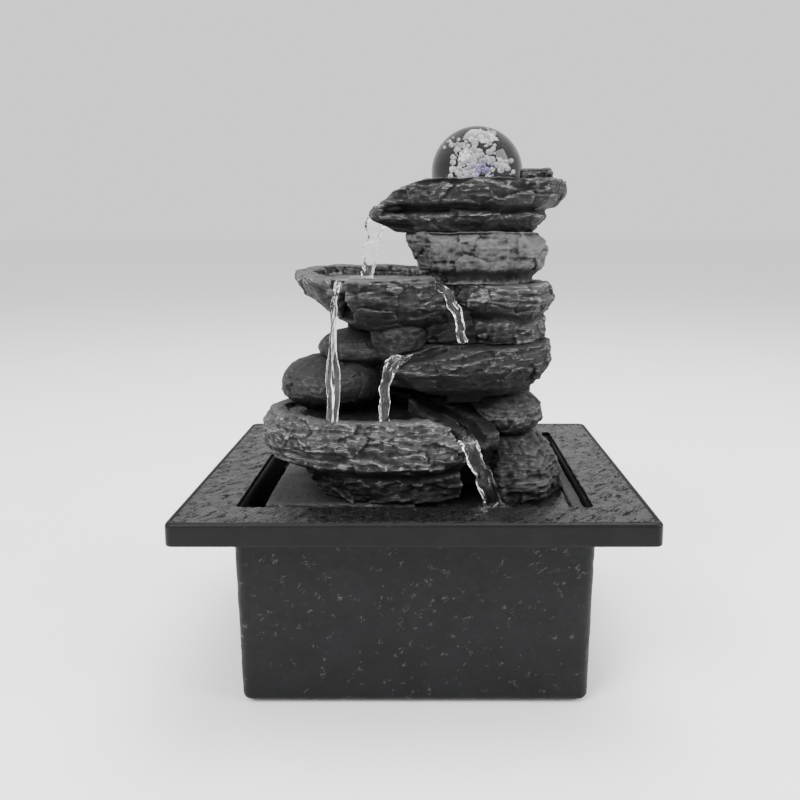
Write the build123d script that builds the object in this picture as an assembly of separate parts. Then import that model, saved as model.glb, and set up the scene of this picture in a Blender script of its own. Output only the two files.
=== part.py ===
"""Tabletop rockery water fountain.

A moulded tub with a slate-faced deck holds the water. A stack of cast resin stones on a tray lifts out of it.
A submersible pump on the tub floor feeds a riser tube up through the stones to a bowl, where a glass ball
turns on the jet over a ring light. The water then falls from bowl to bowl back to the tray and the tub.

Millimetres. +X is to the right, +Y to the back, +Z up. The origin is the middle of the footprint on the table.
"""

import math
import os

from build123d import *

# Overall sizes
RIM_WIDTH = 165.0
RIM_DEPTH = 130.0
RIM_TOP = 74.0
OVERALL_HEIGHT = 210.0

# Deck and tub
DECK_PLATE = 2.0
DECK_SKIRT_HEIGHT = 8.0
DECK_SKIRT_WALL = 2.0
DECK_SIDE_WIDTH = 20.0
DECK_END_WIDTH = 16.0
DECK_EDGE_RADIUS = 1.2
DECK_CORNER_RADIUS = 3.0
TUB_WALL = 1.5
TUB_FLOOR = 2.0
TUB_DRAFT = 1.2
TUB_CORNER_RADIUS = 4.0
TUB_BOTTOM_RADIUS = 1.4
FLANGE_WIDTH = 8.0
FLANGE_THICKNESS = 1.5
FLANGE_DROP = 3.0
BOSS_RADIUS = 2.9
FOOT_RADIUS = 6.0
FOOT_THICKNESS = 1.5
FOOT_INSET = 13.0
SCREW_RADIUS = 1.1
SCREW_CLEARANCE = 0.3
SCREW_HEAD_RADIUS = 2.4
SCREW_HEAD_HEIGHT = 1.4
SCREW_BITE = 2.4

# Stone tray
TRAY_THICKNESS = 10.0
TRAY_BELOW_RIM = 4.0
TRAY_CLEARANCE = 1.2
TRAY_POOL_DEPTH = 5.0
TRAY_SHORE = 4.0
DRAIN_SLOT = 7.5
POST_SIZE = 12.0

# Cable grommet in the back wall
GROMMET_X = 40.0
GROMMET_BELOW_TRAY = 8.0
GROMMET_BORE_RADIUS = 2.0
GROMMET_NECK_RADIUS = 4.0
GROMMET_FLANGE_RADIUS = 5.5
GROMMET_FLANGE = 1.4

# Ball, light and riser
BALL_RADIUS = 18.0
BALL_GAP = 0.6
BALL_WINDOW_RADIUS = 8.6
BALL_COLLAR = 2.5
BALL_COLLAR_BELOW = 5.0
RISER_OUTER_RADIUS = 4.5
RISER_INNER_RADIUS = 3.0
RISER_CLEARANCE = 0.2
LIGHT_RADIUS = 12.0
LIGHT_HEIGHT = 8.0
LIGHT_WALL = 1.2
LIGHT_CLEARANCE = 0.2
LIGHT_BOARD = 1.0
LIGHT_LENS = 2.0
LED_COUNT = 6
LED_RADIUS = 1.3
LED_HEIGHT = 2.2
NOZZLE_JET_RADIUS = 1.2
NOZZLE_HEAD_RADIUS = 4.2
NOZZLE_HEAD_HEIGHT = 1.5
NOZZLE_BARB_LENGTH = 6.0
NOZZLE_GAP = 0.5

# Pump
PUMP_HALF_WIDTH = 15.0
PUMP_HEIGHT = 28.0
PUMP_EDGE_RADIUS = 2.0
CUP_HEIGHT = 4.0
CUP_RADIUS = 5.0
CUP_STEM_RADIUS = 1.6
CUP_STEM_LENGTH = 2.0
CUP_NECK_RADIUS = 2.6
CUP_WALL = 0.8
VOLUTE_SIDE = 0.5
VOLUTE_RADIUS = 12.0
CHAMBER_RADIUS = 10.4
VOLUTE_WALL = 2.0
NIPPLE_CLEARANCE = 0.05
NIPPLE_BORE_RADIUS = 2.0
NIPPLE_GRIP = 7.0
NIPPLE_SHOULDER = 2.0
WELL_RADIUS = 6.6
WELL_LENGTH = 19.0
ROTOR_GAP = 0.6
SHAFT_RADIUS = 1.0
SHAFT_CLEARANCE = 0.05
BUSH_RADIUS = 2.6
BUSH_LENGTH = 2.4
BUSH_SETBACK = 0.5
BUSH_WALL = 0.8
HUB_RADIUS = 3.2
VANE_COUNT = 6
VANE_RADIUS = 9.4
VANE_THICKNESS = 1.1
SEAL_RADIUS = 11.5
SEAL_SECTION = 1.2
COIL_WALL = 1.6
CORE_THICKNESS = 3.0
CAP_THICKNESS = 3.0
GLAND_RADIUS = 3.0
GLAND_LENGTH = 4.0
INTAKE_LENGTH = 8.0
INTAKE_WALL = 1.5
NIPPLE_SLOT_CLEARANCE = 0.3
INTAKE_SLOT_WIDTH = 1.6
INTAKE_SLOT_PITCH = 3.4
INTAKE_EYE_RADIUS = 4.4
SPIDER_WIDTH = 1.6
SPIDER_ROOT = 0.5
DIAL_RADIUS = 4.5
DIAL_THICKNESS = 1.4
DIAL_PIN_RADIUS = 1.4
DIAL_CLEARANCE = 0.06
DIAL_SIDE_GAP = 0.2
DIAL_GRIP_HALF = 0.8
DIAL_SNAP_RADIUS = 2.1
DIAL_SNAP_LENGTH = 1.0
SPONGE_MARGIN = 0.6

# The stones below are drawn for a deck opening of 125 by 98, a deck 74 high and a ball whose foot is 102.2
# above the deck. These stretch them to the sizes set above.
DRAWN_OPENING = (125.0, 98.0)
DRAWN_RIM_TOP = 74.0
DRAWN_BALL_FOOT = 102.2

OPENING_X = RIM_WIDTH - 2 * DECK_SIDE_WIDTH
OPENING_Y = RIM_DEPTH - 2 * DECK_END_WIDTH
STRETCH_X = OPENING_X / DRAWN_OPENING[0]
STRETCH_Y = OPENING_Y / DRAWN_OPENING[1]
STRETCH_Z = (OVERALL_HEIGHT - 2 * BALL_RADIUS - RIM_TOP) / DRAWN_BALL_FOOT

TRAY_TOP = RIM_TOP - TRAY_BELOW_RIM
TRAY_BOTTOM = TRAY_TOP - TRAY_THICKNESS
DRAFT_TAN = math.tan(math.radians(TUB_DRAFT))
FLOOR_TOP = FOOT_THICKNESS + TUB_FLOOR
WALL_TOP = RIM_TOP - DECK_PLATE
FLANGE_TOP = WALL_TOP - FLANGE_DROP
BALL_X = 24.0 * STRETCH_X
BALL_Y = 0.0
BALL_Z = OVERALL_HEIGHT - BALL_RADIUS
BORE = RISER_OUTER_RADIUS + RISER_CLEARANCE


def at(x, y, z):
    """A point of the drawn stones, stretched to the sizes set above."""
    return Vector(x * STRETCH_X, y * STRETCH_Y, RIM_TOP + (z - DRAWN_RIM_TOP) * STRETCH_Z)


def cylinder(radius, low, high, x=0.0, y=0.0):
    """An upright cylinder from one height to another."""
    return Pos(x, y, (low + high) / 2) * Cylinder(radius, high - low)


def lying(radius, start, end, y=0.0, z=0.0):
    """A cylinder along X, from one X to another."""
    return Pos((start + end) / 2, y, z) * Rot(0, 90, 0) * Cylinder(radius, end - start)


def block(low, high):
    """A box from its lowest corner to its highest."""
    size = [h - l for l, h in zip(low, high)]
    middle = [(h + l) / 2 for l, h in zip(low, high)]
    return Pos(*middle) * Box(*size)


def corners(x, y):
    """The four corners of a rectangle about the origin."""
    return [(sx * x, sy * y) for sx in (-1, 1) for sy in (-1, 1)]


# --- Tub and deck -------------------------------------------------------------------------------------------


def tapered(width, depth, radius, top, bottom):
    """A block with rounded corners that narrows downwards by the tub's draft."""
    outline = Pos(0, 0, top) * RectangleRounded(width, depth, radius)
    return extrude(outline, amount=top - bottom, dir=(0, 0, -1), taper=TUB_DRAFT)


def screw_places():
    """Four screws through the tub's flange, near its corners."""
    reach_x = OPENING_X / 2 + TUB_WALL + FLANGE_WIDTH / 2
    reach_y = OPENING_Y / 2 + TUB_WALL + FLANGE_WIDTH / 2
    return corners(reach_x, reach_y)


def basin_tub():
    width, depth = OPENING_X + 2 * TUB_WALL, OPENING_Y + 2 * TUB_WALL
    outer = tapered(width, depth, TUB_CORNER_RADIUS, WALL_TOP, FOOT_THICKNESS)
    outer = fillet(outer.faces().sort_by(Axis.Z)[0].edges(), TUB_BOTTOM_RADIUS)
    flange = Pos(0, 0, FLANGE_TOP - FLANGE_THICKNESS / 2) * extrude(
        RectangleRounded(width + 2 * FLANGE_WIDTH, depth + 2 * FLANGE_WIDTH, TUB_CORNER_RADIUS),
        amount=FLANGE_THICKNESS / 2,
        both=True,
    )
    inner = tapered(OPENING_X, OPENING_Y, TUB_CORNER_RADIUS - TUB_WALL, WALL_TOP, FLOOR_TOP)
    posts = Part()
    half = POST_SIZE / 2
    for x, y in corners(OPENING_X / 2 - half, OPENING_Y / 2 - half):
        posts += block((x - half, y - half, FLOOR_TOP), (x + half, y + half, TRAY_BOTTOM))
    tub = (outer + flange) - inner + (posts & inner)
    for x, y in screw_places():
        tub -= cylinder(SCREW_RADIUS + SCREW_CLEARANCE, FLANGE_TOP - FLANGE_THICKNESS, FLANGE_TOP, x, y)
    return tub - grommet_place() * Cylinder(GROMMET_NECK_RADIUS, 4 * TUB_WALL)


def rim_frame():
    outline = RectangleRounded(RIM_WIDTH, RIM_DEPTH, DECK_CORNER_RADIUS)
    plate = extrude(Pos(0, 0, WALL_TOP) * outline, DECK_PLATE)
    skirt_outline = outline - RectangleRounded(
        RIM_WIDTH - 2 * DECK_SKIRT_WALL, RIM_DEPTH - 2 * DECK_SKIRT_WALL, DECK_CORNER_RADIUS - DECK_SKIRT_WALL
    )
    skirt = extrude(Pos(0, 0, RIM_TOP - DECK_SKIRT_HEIGHT) * skirt_outline, DECK_SKIRT_HEIGHT - DECK_PLATE)
    frame = plate + skirt
    frame = fillet(frame.faces().sort_by(Axis.Z)[-1].edges(), DECK_EDGE_RADIUS)
    frame -= extrude(
        Pos(0, 0, WALL_TOP) * RectangleRounded(OPENING_X, OPENING_Y, TUB_CORNER_RADIUS - TUB_WALL), DECK_PLATE
    )
    for x, y in screw_places():
        frame += cylinder(BOSS_RADIUS, FLANGE_TOP, WALL_TOP, x, y)
        frame -= cylinder(SCREW_RADIUS, FLANGE_TOP, FLANGE_TOP + SCREW_BITE, x, y)
    return frame


def rim_screws():
    head_top = FLANGE_TOP - FLANGE_THICKNESS
    screws = []
    for x, y in screw_places():
        screw = cylinder(SCREW_RADIUS, head_top, FLANGE_TOP + SCREW_BITE, x, y)
        screw += cylinder(SCREW_HEAD_RADIUS, head_top - SCREW_HEAD_HEIGHT, head_top, x, y)
        slot = Pos(x, y, head_top - SCREW_HEAD_HEIGHT)
        screw -= slot * Box(SCREW_HEAD_RADIUS * 1.3, SCREW_RADIUS * 0.6, SCREW_HEAD_HEIGHT)
        screw -= slot * Box(SCREW_RADIUS * 0.6, SCREW_HEAD_RADIUS * 1.3, SCREW_HEAD_HEIGHT)
        screws.append(screw.solid())
    return Compound(screws)


def rubber_feet():
    places = corners(OPENING_X / 2 - FOOT_INSET, OPENING_Y / 2 - FOOT_INSET)
    return Compound([cylinder(FOOT_RADIUS, 0, FOOT_THICKNESS, x, y).solid() for x, y in places])


def grommet_place():
    """The grommet's own frame: its Z runs out through the back wall, square to the wall's draft."""
    z = TRAY_BOTTOM - GROMMET_BELOW_TRAY
    middle_of_wall = OPENING_Y / 2 + TUB_WALL / 2 - (WALL_TOP - z) * DRAFT_TAN
    return Location((GROMMET_X * STRETCH_X, middle_of_wall, z), (-90 - TUB_DRAFT, 0, 0))


def cable_grommet():
    half_wall = TUB_WALL / 2
    grommet = Cylinder(GROMMET_NECK_RADIUS, TUB_WALL)
    for side in (-1, 1):
        lip = Pos(0, 0, side * (half_wall + GROMMET_FLANGE / 2))
        grommet += lip * Cylinder(GROMMET_FLANGE_RADIUS, GROMMET_FLANGE)
    grommet -= Cylinder(GROMMET_BORE_RADIUS, TUB_WALL + 2 * GROMMET_FLANGE)
    return grommet_place() * grommet


# --- Stones -------------------------------------------------------------------------------------------------


def stone(outline, levels):
    """A faceted block. The plan outline is scaled about its middle and shifted at each level, and flat facets
    join the levels. A level is (height, scale, shift in x, shift in y), lowest first."""
    middle_x = sum(x for x, _ in outline) / len(outline)
    middle_y = sum(y for _, y in outline) / len(outline)
    rings = []
    for z, share, dx, dy in levels:
        rings.append(
            [
                at(middle_x + dx + (x - middle_x) * share, middle_y + dy + (y - middle_y) * share, z)
                for x, y in outline
            ]
        )
    faces = [Face(Wire.make_polygon(rings[0])), Face(Wire.make_polygon(rings[-1]))]
    count = len(outline)
    for low, high in zip(rings, rings[1:]):
        for i in range(count):
            j = (i + 1) % count
            faces.append(Face(Wire.make_polygon([low[i], low[j], high[j], high[i]])))
    return Part(Solid(Shell(faces)).wrapped)


def pebble(middle, radii):
    """A rounded stone."""
    round_stone = scale(Sphere(1.0), by=(radii[0] * STRETCH_X, radii[1] * STRETCH_Y, radii[2] * STRETCH_Z))
    return Pos(*at(*middle)) * round_stone


def trough(start, end, width, height):
    """A straight channel to cut: its floor runs from start to end, and it is open upwards by height."""
    begin, finish = at(*start), at(*end)
    run = finish - begin
    bearing = math.degrees(math.atan2(run.Y, run.X))
    flat = math.hypot(run.X, run.Y)
    slope = math.degrees(math.atan2(run.Z, flat))
    middle = (begin + finish) * 0.5
    along = Location(middle) * Rot(0, 0, bearing) * Rot(0, -slope, 0)
    return along * Pos(0, 0, height / 2) * Box(run.length, width, height)


# The plan outlines of the faceted stones, and the height of the joint between the neck and the crown
CROWN_JOINT = 171
CROWN = [(-11, -7), (-3, -18), (12, -26), (34, -28), (51, -20)]
CROWN += [(60, -3), (56, 15), (40, 26), (14, 27), (-6, 13)]
NECK = [(-3, -6), (6, -21), (24, -27), (42, -23), (52, -8), (50, 12), (34, 21), (8, 17)]
LEFT_BOWL = [(-47, -10), (-38, -34), (-27, -44), (-12, -40), (4, -34)]
LEFT_BOWL += [(13, -24), (6, 2), (-4, 16), (-28, 20), (-43, 10)]
UPPER_SLAB = [(15, -16), (28, -27), (46, -24), (54, -8), (52, 14), (34, 22), (16, 18)]
MID_LEDGE = [(-11, -32), (-4, -40), (14, -41), (34, -36), (50, -24), (54, -6), (50, 14), (22, 18), (4, -6)]
LOWER_LEDGE = [(-60, -12), (-53, -33), (-36, -45), (-10, -47), (10, -44)]
LOWER_LEDGE += [(22, -37), (20, -16), (8, 8), (-22, 18), (-50, 10)]
LOWER_BOULDER = [(24, -20), (33, -31), (48, -30), (57, -16), (57, 4), (44, 15), (28, 11)]
CHANNEL_STONE = [(-3, -16), (3, -28), (14, -38), (24, -42), (31, -36), (29, -24), (20, -12), (6, -8)]
LOWER_CORE = [(-34, 6), (-16, -12), (16, -16), (40, -14), (52, 8), (46, 30), (16, 38), (-20, 34)]
UPPER_CORE = [(-28, -8), (-12, -17), (12, -20), (34, -18), (46, -4), (46, 20), (26, 30), (-8, 28), (-26, 14)]
LOWER_BACK = [(-46, 16), (-20, 20), (16, 22), (46, 16), (50, 30), (34, 43), (-4, 45), (-36, 40)]
MID_BACK = [(-26, 16), (2, 18), (34, 18), (48, 24), (38, 37), (6, 40), (-22, 32)]


LIGHT_TOP = at(0, 0, CROWN_JOINT).Z
LIGHT_BOTTOM = LIGHT_TOP - LIGHT_HEIGHT
BOARD_BOTTOM = LIGHT_TOP - LIGHT_LENS - LED_HEIGHT - LIGHT_BOARD


def tray_pool():
    """The shallow pool in the right half of the tray, inside a narrow shore."""
    half_x = OPENING_X / 2 - TRAY_CLEARANCE - TRAY_SHORE
    half_y = OPENING_Y / 2 - TRAY_CLEARANCE - TRAY_SHORE
    return block((0, -half_y, TRAY_TOP - TRAY_POOL_DEPTH), (half_x, half_y, TRAY_TOP + 1))


def rock_tray():
    half_x = OPENING_X / 2 - TRAY_CLEARANCE
    half_y = OPENING_Y / 2 - TRAY_CLEARANCE
    left = -OPENING_X / 2 + DRAIN_SLOT
    tray = block((left, -half_y, TRAY_BOTTOM), (half_x, half_y, TRAY_TOP)) - tray_pool()
    outlet_z = TRAY_TOP - TRAY_POOL_DEPTH / 2
    weir = block((left - 1, -half_y + TRAY_SHORE, outlet_z), (1, -half_y + 3 * TRAY_SHORE, TRAY_TOP + 1))
    return tray - weir


def lower_ledge():
    # It is undercut: the foot is narrow and the slab above overhangs it
    levels = [(70, 0.68, 7, 2), (81, 0.76, 4, 2), (86, 0.95, 0, 0), (96, 1, 0, 0), (103, 0.93, 1, 1)]
    ledge = stone(LOWER_LEDGE, levels)
    ledge -= ledge_pool()
    ledge -= trough((2, -33, 97), (30, -38, 90), 11, 30)
    # The lip falls away towards the outflow at the right
    return ledge - trough((4, -20, 103.5), (30, -20, 92.5), 90, 30)


def ledge_pool():
    return stone(LOWER_LEDGE, [(96, 0.7, -1, 1), (110, 0.84, -1, 1)])


def lower_boulder():
    levels = [(65, 0.9, 0, 0), (73, 1, 0, 0), (80, 0.95, -1, 0), (86, 0.8, -3, 0), (91, 0.58, -5, 0)]
    return stone(LOWER_BOULDER, levels)


def channel_stone():
    channel = stone(CHANNEL_STONE, [(84, 0.5, 4, 2), (92, 0.9, 1, 1), (100, 1, 0, 0), (110, 0.9, -1, 1)])
    # Its top slopes down to the front, and a groove bends along it to the lip
    channel -= trough((-6, -2, 109), (28, -46, 95.5), 90, 30)
    channel -= trough((0, -12, 105.5), (20, -30, 97.5), 8, 20)
    return channel - trough((18, -28, 98), (25, -46, 91), 8, 20)


def mid_ledge():
    ledge = stone(MID_LEDGE, [(109, 0.6, 2, 3), (113, 0.82, 0, 1), (120, 1, 0, 0), (128, 0.93, 1, 1)])
    ledge -= trough((18, -26, 125.5), (-16, -36, 119.5), 9, 12)
    return ledge - trough((0, -20, 127), (-16, -36, 121), 60, 20)


def left_bowl():
    levels = [(133, 0.5, 8, 4), (138, 0.7, 6, 2), (146, 0.92, 2, 1), (153, 1, 0, 0), (157, 0.95, 0, 1)]
    bowl = stone(LEFT_BOWL, levels)
    bowl -= bowl_pool()
    # The front lip is lower than the back one
    bowl -= trough((-16, -60, 152.4), (-16, 24, 158.4), 90, 20)
    # A notch in the front lip, and the groove that the water follows below it
    bowl -= trough((-26, -24, 150.5), (-28, -50, 149.5), 6, 14)
    bowl -= trough((-27, -44, 151), (-25, -30, 133), 5, 14)
    return bowl - trough((0, -14, 150.5), (16, -30, 144), 10, 20)


def bowl_pool():
    return stone(LEFT_BOWL, [(149, 0.7, 0, 1), (165, 0.84, 0, 1)])


def upper_slab():
    return stone(UPPER_SLAB, [(128, 0.84, 0, 0), (138, 0.84, 0, 0), (145, 1, 0, 0), (151, 0.95, 0, 1)])


def neck_stone():
    return stone(NECK, [(151, 0.8, 0, 0), (157, 0.91, 1, 0), (165, 1, 0, 0), (CROWN_JOINT, 0.98, -3, 0)])


def spout_tongue():
    """The drooping lip that throws the water clear of the neck."""
    outline = [(-16.5, -10), (6, -14), (6, 6), (-16.5, 2)]
    return stone(outline, [(CROWN_JOINT, 0.6, 4, 0), (176, 1, 0, 0), (189, 1, 2, 0)])


def crown_bowl():
    crown = stone(CROWN, [(CROWN_JOINT, 0.73, -4, 0), (177, 0.86, -2, 0), (185, 0.96, 0, 0), (191, 1, 0, 0)])
    crown += spout_tongue()
    # A raised shoulder behind the ball, at the right
    crown += stone([(40, 10), (56, 2), (58, 15), (44, 26), (32, 26)], [(188, 1, 0, 0), (197, 0.7, 1, 1)])
    # The rim rolls over to the lip at the left
    crown -= trough((8, -5, 192.5), (-10, -5, 186.5), 70, 20)
    crown -= trough((-8, -5, 187.5), (-20, -5, 175.5), 70, 20)
    crown -= Pos(BALL_X, BALL_Y, BALL_Z) * Sphere(BALL_RADIUS + BALL_GAP)
    crown -= cylinder(BALL_RADIUS + BALL_COLLAR, BALL_Z - BALL_COLLAR_BELOW, OVERALL_HEIGHT, BALL_X, BALL_Y)
    crown -= cylinder(BALL_WINDOW_RADIUS, 0, BALL_Z, BALL_X, BALL_Y)
    return crown - trough((14, -4, 186), (-24, -4, 173.5), 8, 20)


def main_body(shape):
    """The largest solid of a cut stone. A cut can leave loose chips, which the caster trims off."""
    return max(shape.solids(), key=lambda solid: solid.volume)


def stones():
    """Every stone, by name. A later one is cut to seat on the earlier ones."""
    lower_back = [(70, 1, 0, 0), (82, 0.97, 0, 0), (93, 0.84, 1, -2), (101, 0.66, 2, -4)]
    mid_back = [(99, 0.9, 0, 0), (110, 1, 0, 0), (122, 0.92, 0, -1), (131, 0.72, 0, -3)]
    drawn = {
        "rock_tray": rock_tray(),
        "lower_ledge": lower_ledge(),
        "lower_boulder": lower_boulder(),
        "channel_stone": channel_stone(),
        "right_pebble": pebble((34.5, -8, 99.5), (15.5, 21, 9)),
        "left_pebble": pebble((-32, -10, 111.5), (20.5, 20, 11.5)),
        "left_back_pebble": pebble((-21, -6, 124.5), (17.5, 17, 8.5)),
        "mid_ledge": mid_ledge(),
        "left_bowl": left_bowl(),
        "upper_slab": upper_slab(),
        "crown_bowl": crown_bowl(),
        "neck_stone": neck_stone(),
        "centre_stone": pebble((-6, -17, 130), (11, 11, 12)),
        "lower_back_stone": stone(LOWER_BACK, lower_back),
        "mid_back_stone": stone(MID_BACK, mid_back),
        "lower_core": stone(LOWER_CORE, [(70, 1, 0, 0), (90, 0.95, 0, 0), (104, 0.85, 0, -2)]),
        "upper_core": stone(UPPER_CORE, [(104, 1, 0, 0), (131, 1, 0, 0), (151, 0.85, 1, 0)]),
    }
    hollows = [ledge_pool(), bowl_pool()]
    riser = cylinder(BORE, 0, BALL_Z, BALL_X, BALL_Y)
    light = cylinder(LIGHT_RADIUS + LIGHT_CLEARANCE, LIGHT_BOTTOM, LIGHT_TOP, BALL_X, BALL_Y)
    made = {}
    for name, shape in drawn.items():
        for earlier in made.values():
            if shape.bounding_box().overlaps(earlier.bounding_box()):
                shape -= earlier
        if name.endswith(("core", "back_stone")):
            for hollow in hollows:
                shape -= hollow
        if name != "crown_bowl":
            shape -= riser
        if name == "neck_stone":
            shape -= light
        made[name] = main_body(shape)
    return made


# --- Ball, light and riser ----------------------------------------------------------------------------------


def crystal_ball():
    return Pos(BALL_X, BALL_Y, BALL_Z) * Sphere(BALL_RADIUS)


def ring(outer, inner, low, high):
    return cylinder(outer, low, high, BALL_X, BALL_Y) - cylinder(inner, low, high, BALL_X, BALL_Y)


def light_housing():
    sleeve = BORE + LIGHT_WALL
    cup = ring(LIGHT_RADIUS, BORE, LIGHT_BOTTOM, LIGHT_TOP)
    return cup - ring(LIGHT_RADIUS - LIGHT_WALL, sleeve, BOARD_BOTTOM, LIGHT_TOP)


def light_board():
    return ring(LIGHT_RADIUS - LIGHT_WALL, BORE + LIGHT_WALL, BOARD_BOTTOM, BOARD_BOTTOM + LIGHT_BOARD)


def leds():
    reach = (LIGHT_RADIUS - LIGHT_WALL + BORE + LIGHT_WALL) / 2
    low = BOARD_BOTTOM + LIGHT_BOARD
    made = []
    for i in range(LED_COUNT):
        turn = math.radians(360 * i / LED_COUNT)
        x, y = BALL_X + reach * math.cos(turn), BALL_Y + reach * math.sin(turn)
        made.append(cylinder(LED_RADIUS, low, low + LED_HEIGHT, x, y).solid())
    return Compound(made)


def light_lens():
    return ring(LIGHT_RADIUS - LIGHT_WALL, BORE + LIGHT_WALL, LIGHT_TOP - LIGHT_LENS, LIGHT_TOP)


RISER_TOP = BALL_Z - BALL_RADIUS - BALL_GAP - NOZZLE_HEAD_HEIGHT - NOZZLE_GAP
PUMP_BOTTOM = FLOOR_TOP + CUP_HEIGHT
PUMP_TOP = PUMP_BOTTOM + PUMP_HEIGHT
AXIS_Z = PUMP_BOTTOM + PUMP_HEIGHT / 2
RISER_BOTTOM = PUMP_TOP + NIPPLE_SHOULDER


def riser_tube():
    return ring(RISER_OUTER_RADIUS, RISER_INNER_RADIUS, RISER_BOTTOM, RISER_TOP)


def jet_nozzle():
    nozzle = cylinder(RISER_INNER_RADIUS, RISER_TOP - NOZZLE_BARB_LENGTH, RISER_TOP, BALL_X, BALL_Y)
    nozzle += cylinder(NOZZLE_HEAD_RADIUS, RISER_TOP, RISER_TOP + NOZZLE_HEAD_HEIGHT, BALL_X, BALL_Y)
    top = RISER_TOP + NOZZLE_HEAD_HEIGHT
    return nozzle - cylinder(NOZZLE_JET_RADIUS, RISER_TOP - NOZZLE_BARB_LENGTH, top, BALL_X, BALL_Y)


# --- Pump ---------------------------------------------------------------------------------------------------

# The pump's own frame: its axis is along X, the outlet is at X = 0, and the motor lies along +X
VOLUTE_BACK = RISER_OUTER_RADIUS + VOLUTE_SIDE
VOLUTE_FRONT = -VOLUTE_BACK
WELL_END = VOLUTE_BACK + WELL_LENGTH
BUSH_FRONT = VOLUTE_FRONT + BUSH_SETBACK
BUSH_BACK = WELL_END + BUSH_LENGTH
COIL_START = WELL_END - WELL_LENGTH / 2
YOKE_START = BUSH_BACK + COIL_WALL
COIL_END = YOKE_START + CORE_THICKNESS
PUMP_BACK = COIL_END + CAP_THICKNESS
INTAKE_FRONT = VOLUTE_FRONT - INTAKE_LENGTH
HUB_START = BUSH_FRONT + BUSH_LENGTH + ROTOR_GAP
MAGNET_START = VOLUTE_BACK + ROTOR_GAP
MAGNET_END = WELL_END - ROTOR_GAP


def in_tub(shape):
    """Puts a pump part in its place under the ball, with the motor to the left."""
    return Pos(BALL_X, BALL_Y, 0) * Rot(0, 0, 180) * shape


def on_axis(radius, start, end):
    return lying(radius, start, end, 0, AXIS_Z)


def pump_body_block(start, end, margin=0.0):
    """A block of the pump's width and height, less a margin all round."""
    half = PUMP_HALF_WIDTH - margin
    return block((start, -half, PUMP_BOTTOM + margin), (end, half, PUMP_TOP - margin))


def cup_places():
    reach = PUMP_HALF_WIDTH - CUP_RADIUS
    return [(x, side * reach) for x in (VOLUTE_BACK + CUP_RADIUS, PUMP_BACK - CUP_RADIUS) for side in (-1, 1)]


def pump_housing():
    body = pump_body_block(VOLUTE_BACK, PUMP_BACK)
    body = fillet(body.edges().filter_by(Axis.X), PUMP_EDGE_RADIUS)
    body -= pump_body_block(COIL_START, PUMP_BACK, COIL_WALL)
    body += on_axis(WELL_RADIUS + COIL_WALL, VOLUTE_BACK, YOKE_START)
    body -= on_axis(WELL_RADIUS, VOLUTE_BACK, WELL_END)
    body -= on_axis(BUSH_RADIUS, WELL_END, BUSH_BACK)
    body -= on_axis(SEAL_RADIUS, VOLUTE_BACK, VOLUTE_BACK + SEAL_SECTION) - on_axis(
        SEAL_RADIUS - SEAL_SECTION, VOLUTE_BACK, VOLUTE_BACK + SEAL_SECTION
    )
    for x, y in cup_places():
        body -= cylinder(CUP_STEM_RADIUS, PUMP_BOTTOM, PUMP_BOTTOM + CUP_STEM_LENGTH, x, y)
    return body


def stator_core():
    """A laminated U: two pole legs beside the rotor well, joined by a yoke across its closed end."""
    inner = WELL_RADIUS + COIL_WALL
    outer = inner + CORE_THICKNESS
    core = block((COIL_START, -outer, AXIS_Z - WELL_RADIUS), (COIL_END, outer, AXIS_Z + WELL_RADIUS))
    return core - block((COIL_START, -inner, AXIS_Z - WELL_RADIUS), (YOKE_START, inner, AXIS_Z + WELL_RADIUS))


def stator_coils():
    """Two windings, one above and one below the rotor well."""
    depth = PUMP_HEIGHT / 2 - COIL_WALL - WELL_RADIUS - COIL_WALL
    half = WELL_RADIUS
    made = []
    for side in (-1, 1):
        z = AXIS_Z + side * (WELL_RADIUS + COIL_WALL + depth / 2)
        coil = Pos((COIL_START + COIL_END) / 2, 0, z) * Box(COIL_END - COIL_START, 2 * half, depth)
        made.append(coil.solid())
    return Compound(made)


def back_cap():
    """The sealed cap over the windings, with the collar that the gland sits in."""
    cap = pump_body_block(COIL_END, PUMP_BACK, COIL_WALL)
    return cap - on_axis(GLAND_RADIUS, COIL_END, PUMP_BACK)


def pump_gland():
    gland = on_axis(GLAND_RADIUS, COIL_END, PUMP_BACK + GLAND_LENGTH)
    return gland - on_axis(GROMMET_BORE_RADIUS, COIL_END, PUMP_BACK + GLAND_LENGTH)


def volute():
    case = on_axis(VOLUTE_RADIUS, VOLUTE_FRONT, VOLUTE_BACK)
    nipple_top = RISER_BOTTOM + NIPPLE_GRIP
    nipple = cylinder(RISER_INNER_RADIUS - NIPPLE_CLEARANCE, AXIS_Z, nipple_top)
    nipple += cylinder(RISER_OUTER_RADIUS, AXIS_Z, RISER_BOTTOM)
    case += nipple
    case -= on_axis(CHAMBER_RADIUS, VOLUTE_FRONT + VOLUTE_WALL, VOLUTE_BACK)
    case -= on_axis(INTAKE_EYE_RADIUS, VOLUTE_FRONT, VOLUTE_FRONT + VOLUTE_WALL)
    case -= cylinder(NIPPLE_BORE_RADIUS, AXIS_Z, nipple_top)
    # A spider across the intake eye carries the front bush
    spider_end = VOLUTE_FRONT + VOLUTE_WALL
    reach = INTAKE_EYE_RADIUS + SPIDER_ROOT
    half = SPIDER_WIDTH / 2
    spider = block((VOLUTE_FRONT, -half, AXIS_Z - reach), (spider_end, half, AXIS_Z + reach))
    spider += on_axis(BUSH_RADIUS + BUSH_WALL, VOLUTE_FRONT, BUSH_FRONT + BUSH_LENGTH)
    return case + spider - on_axis(BUSH_RADIUS, BUSH_FRONT, BUSH_FRONT + BUSH_LENGTH)


def seal_ring():
    start, end = VOLUTE_BACK, VOLUTE_BACK + SEAL_SECTION
    return on_axis(SEAL_RADIUS, start, end) - on_axis(SEAL_RADIUS - SEAL_SECTION, start, end)


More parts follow.
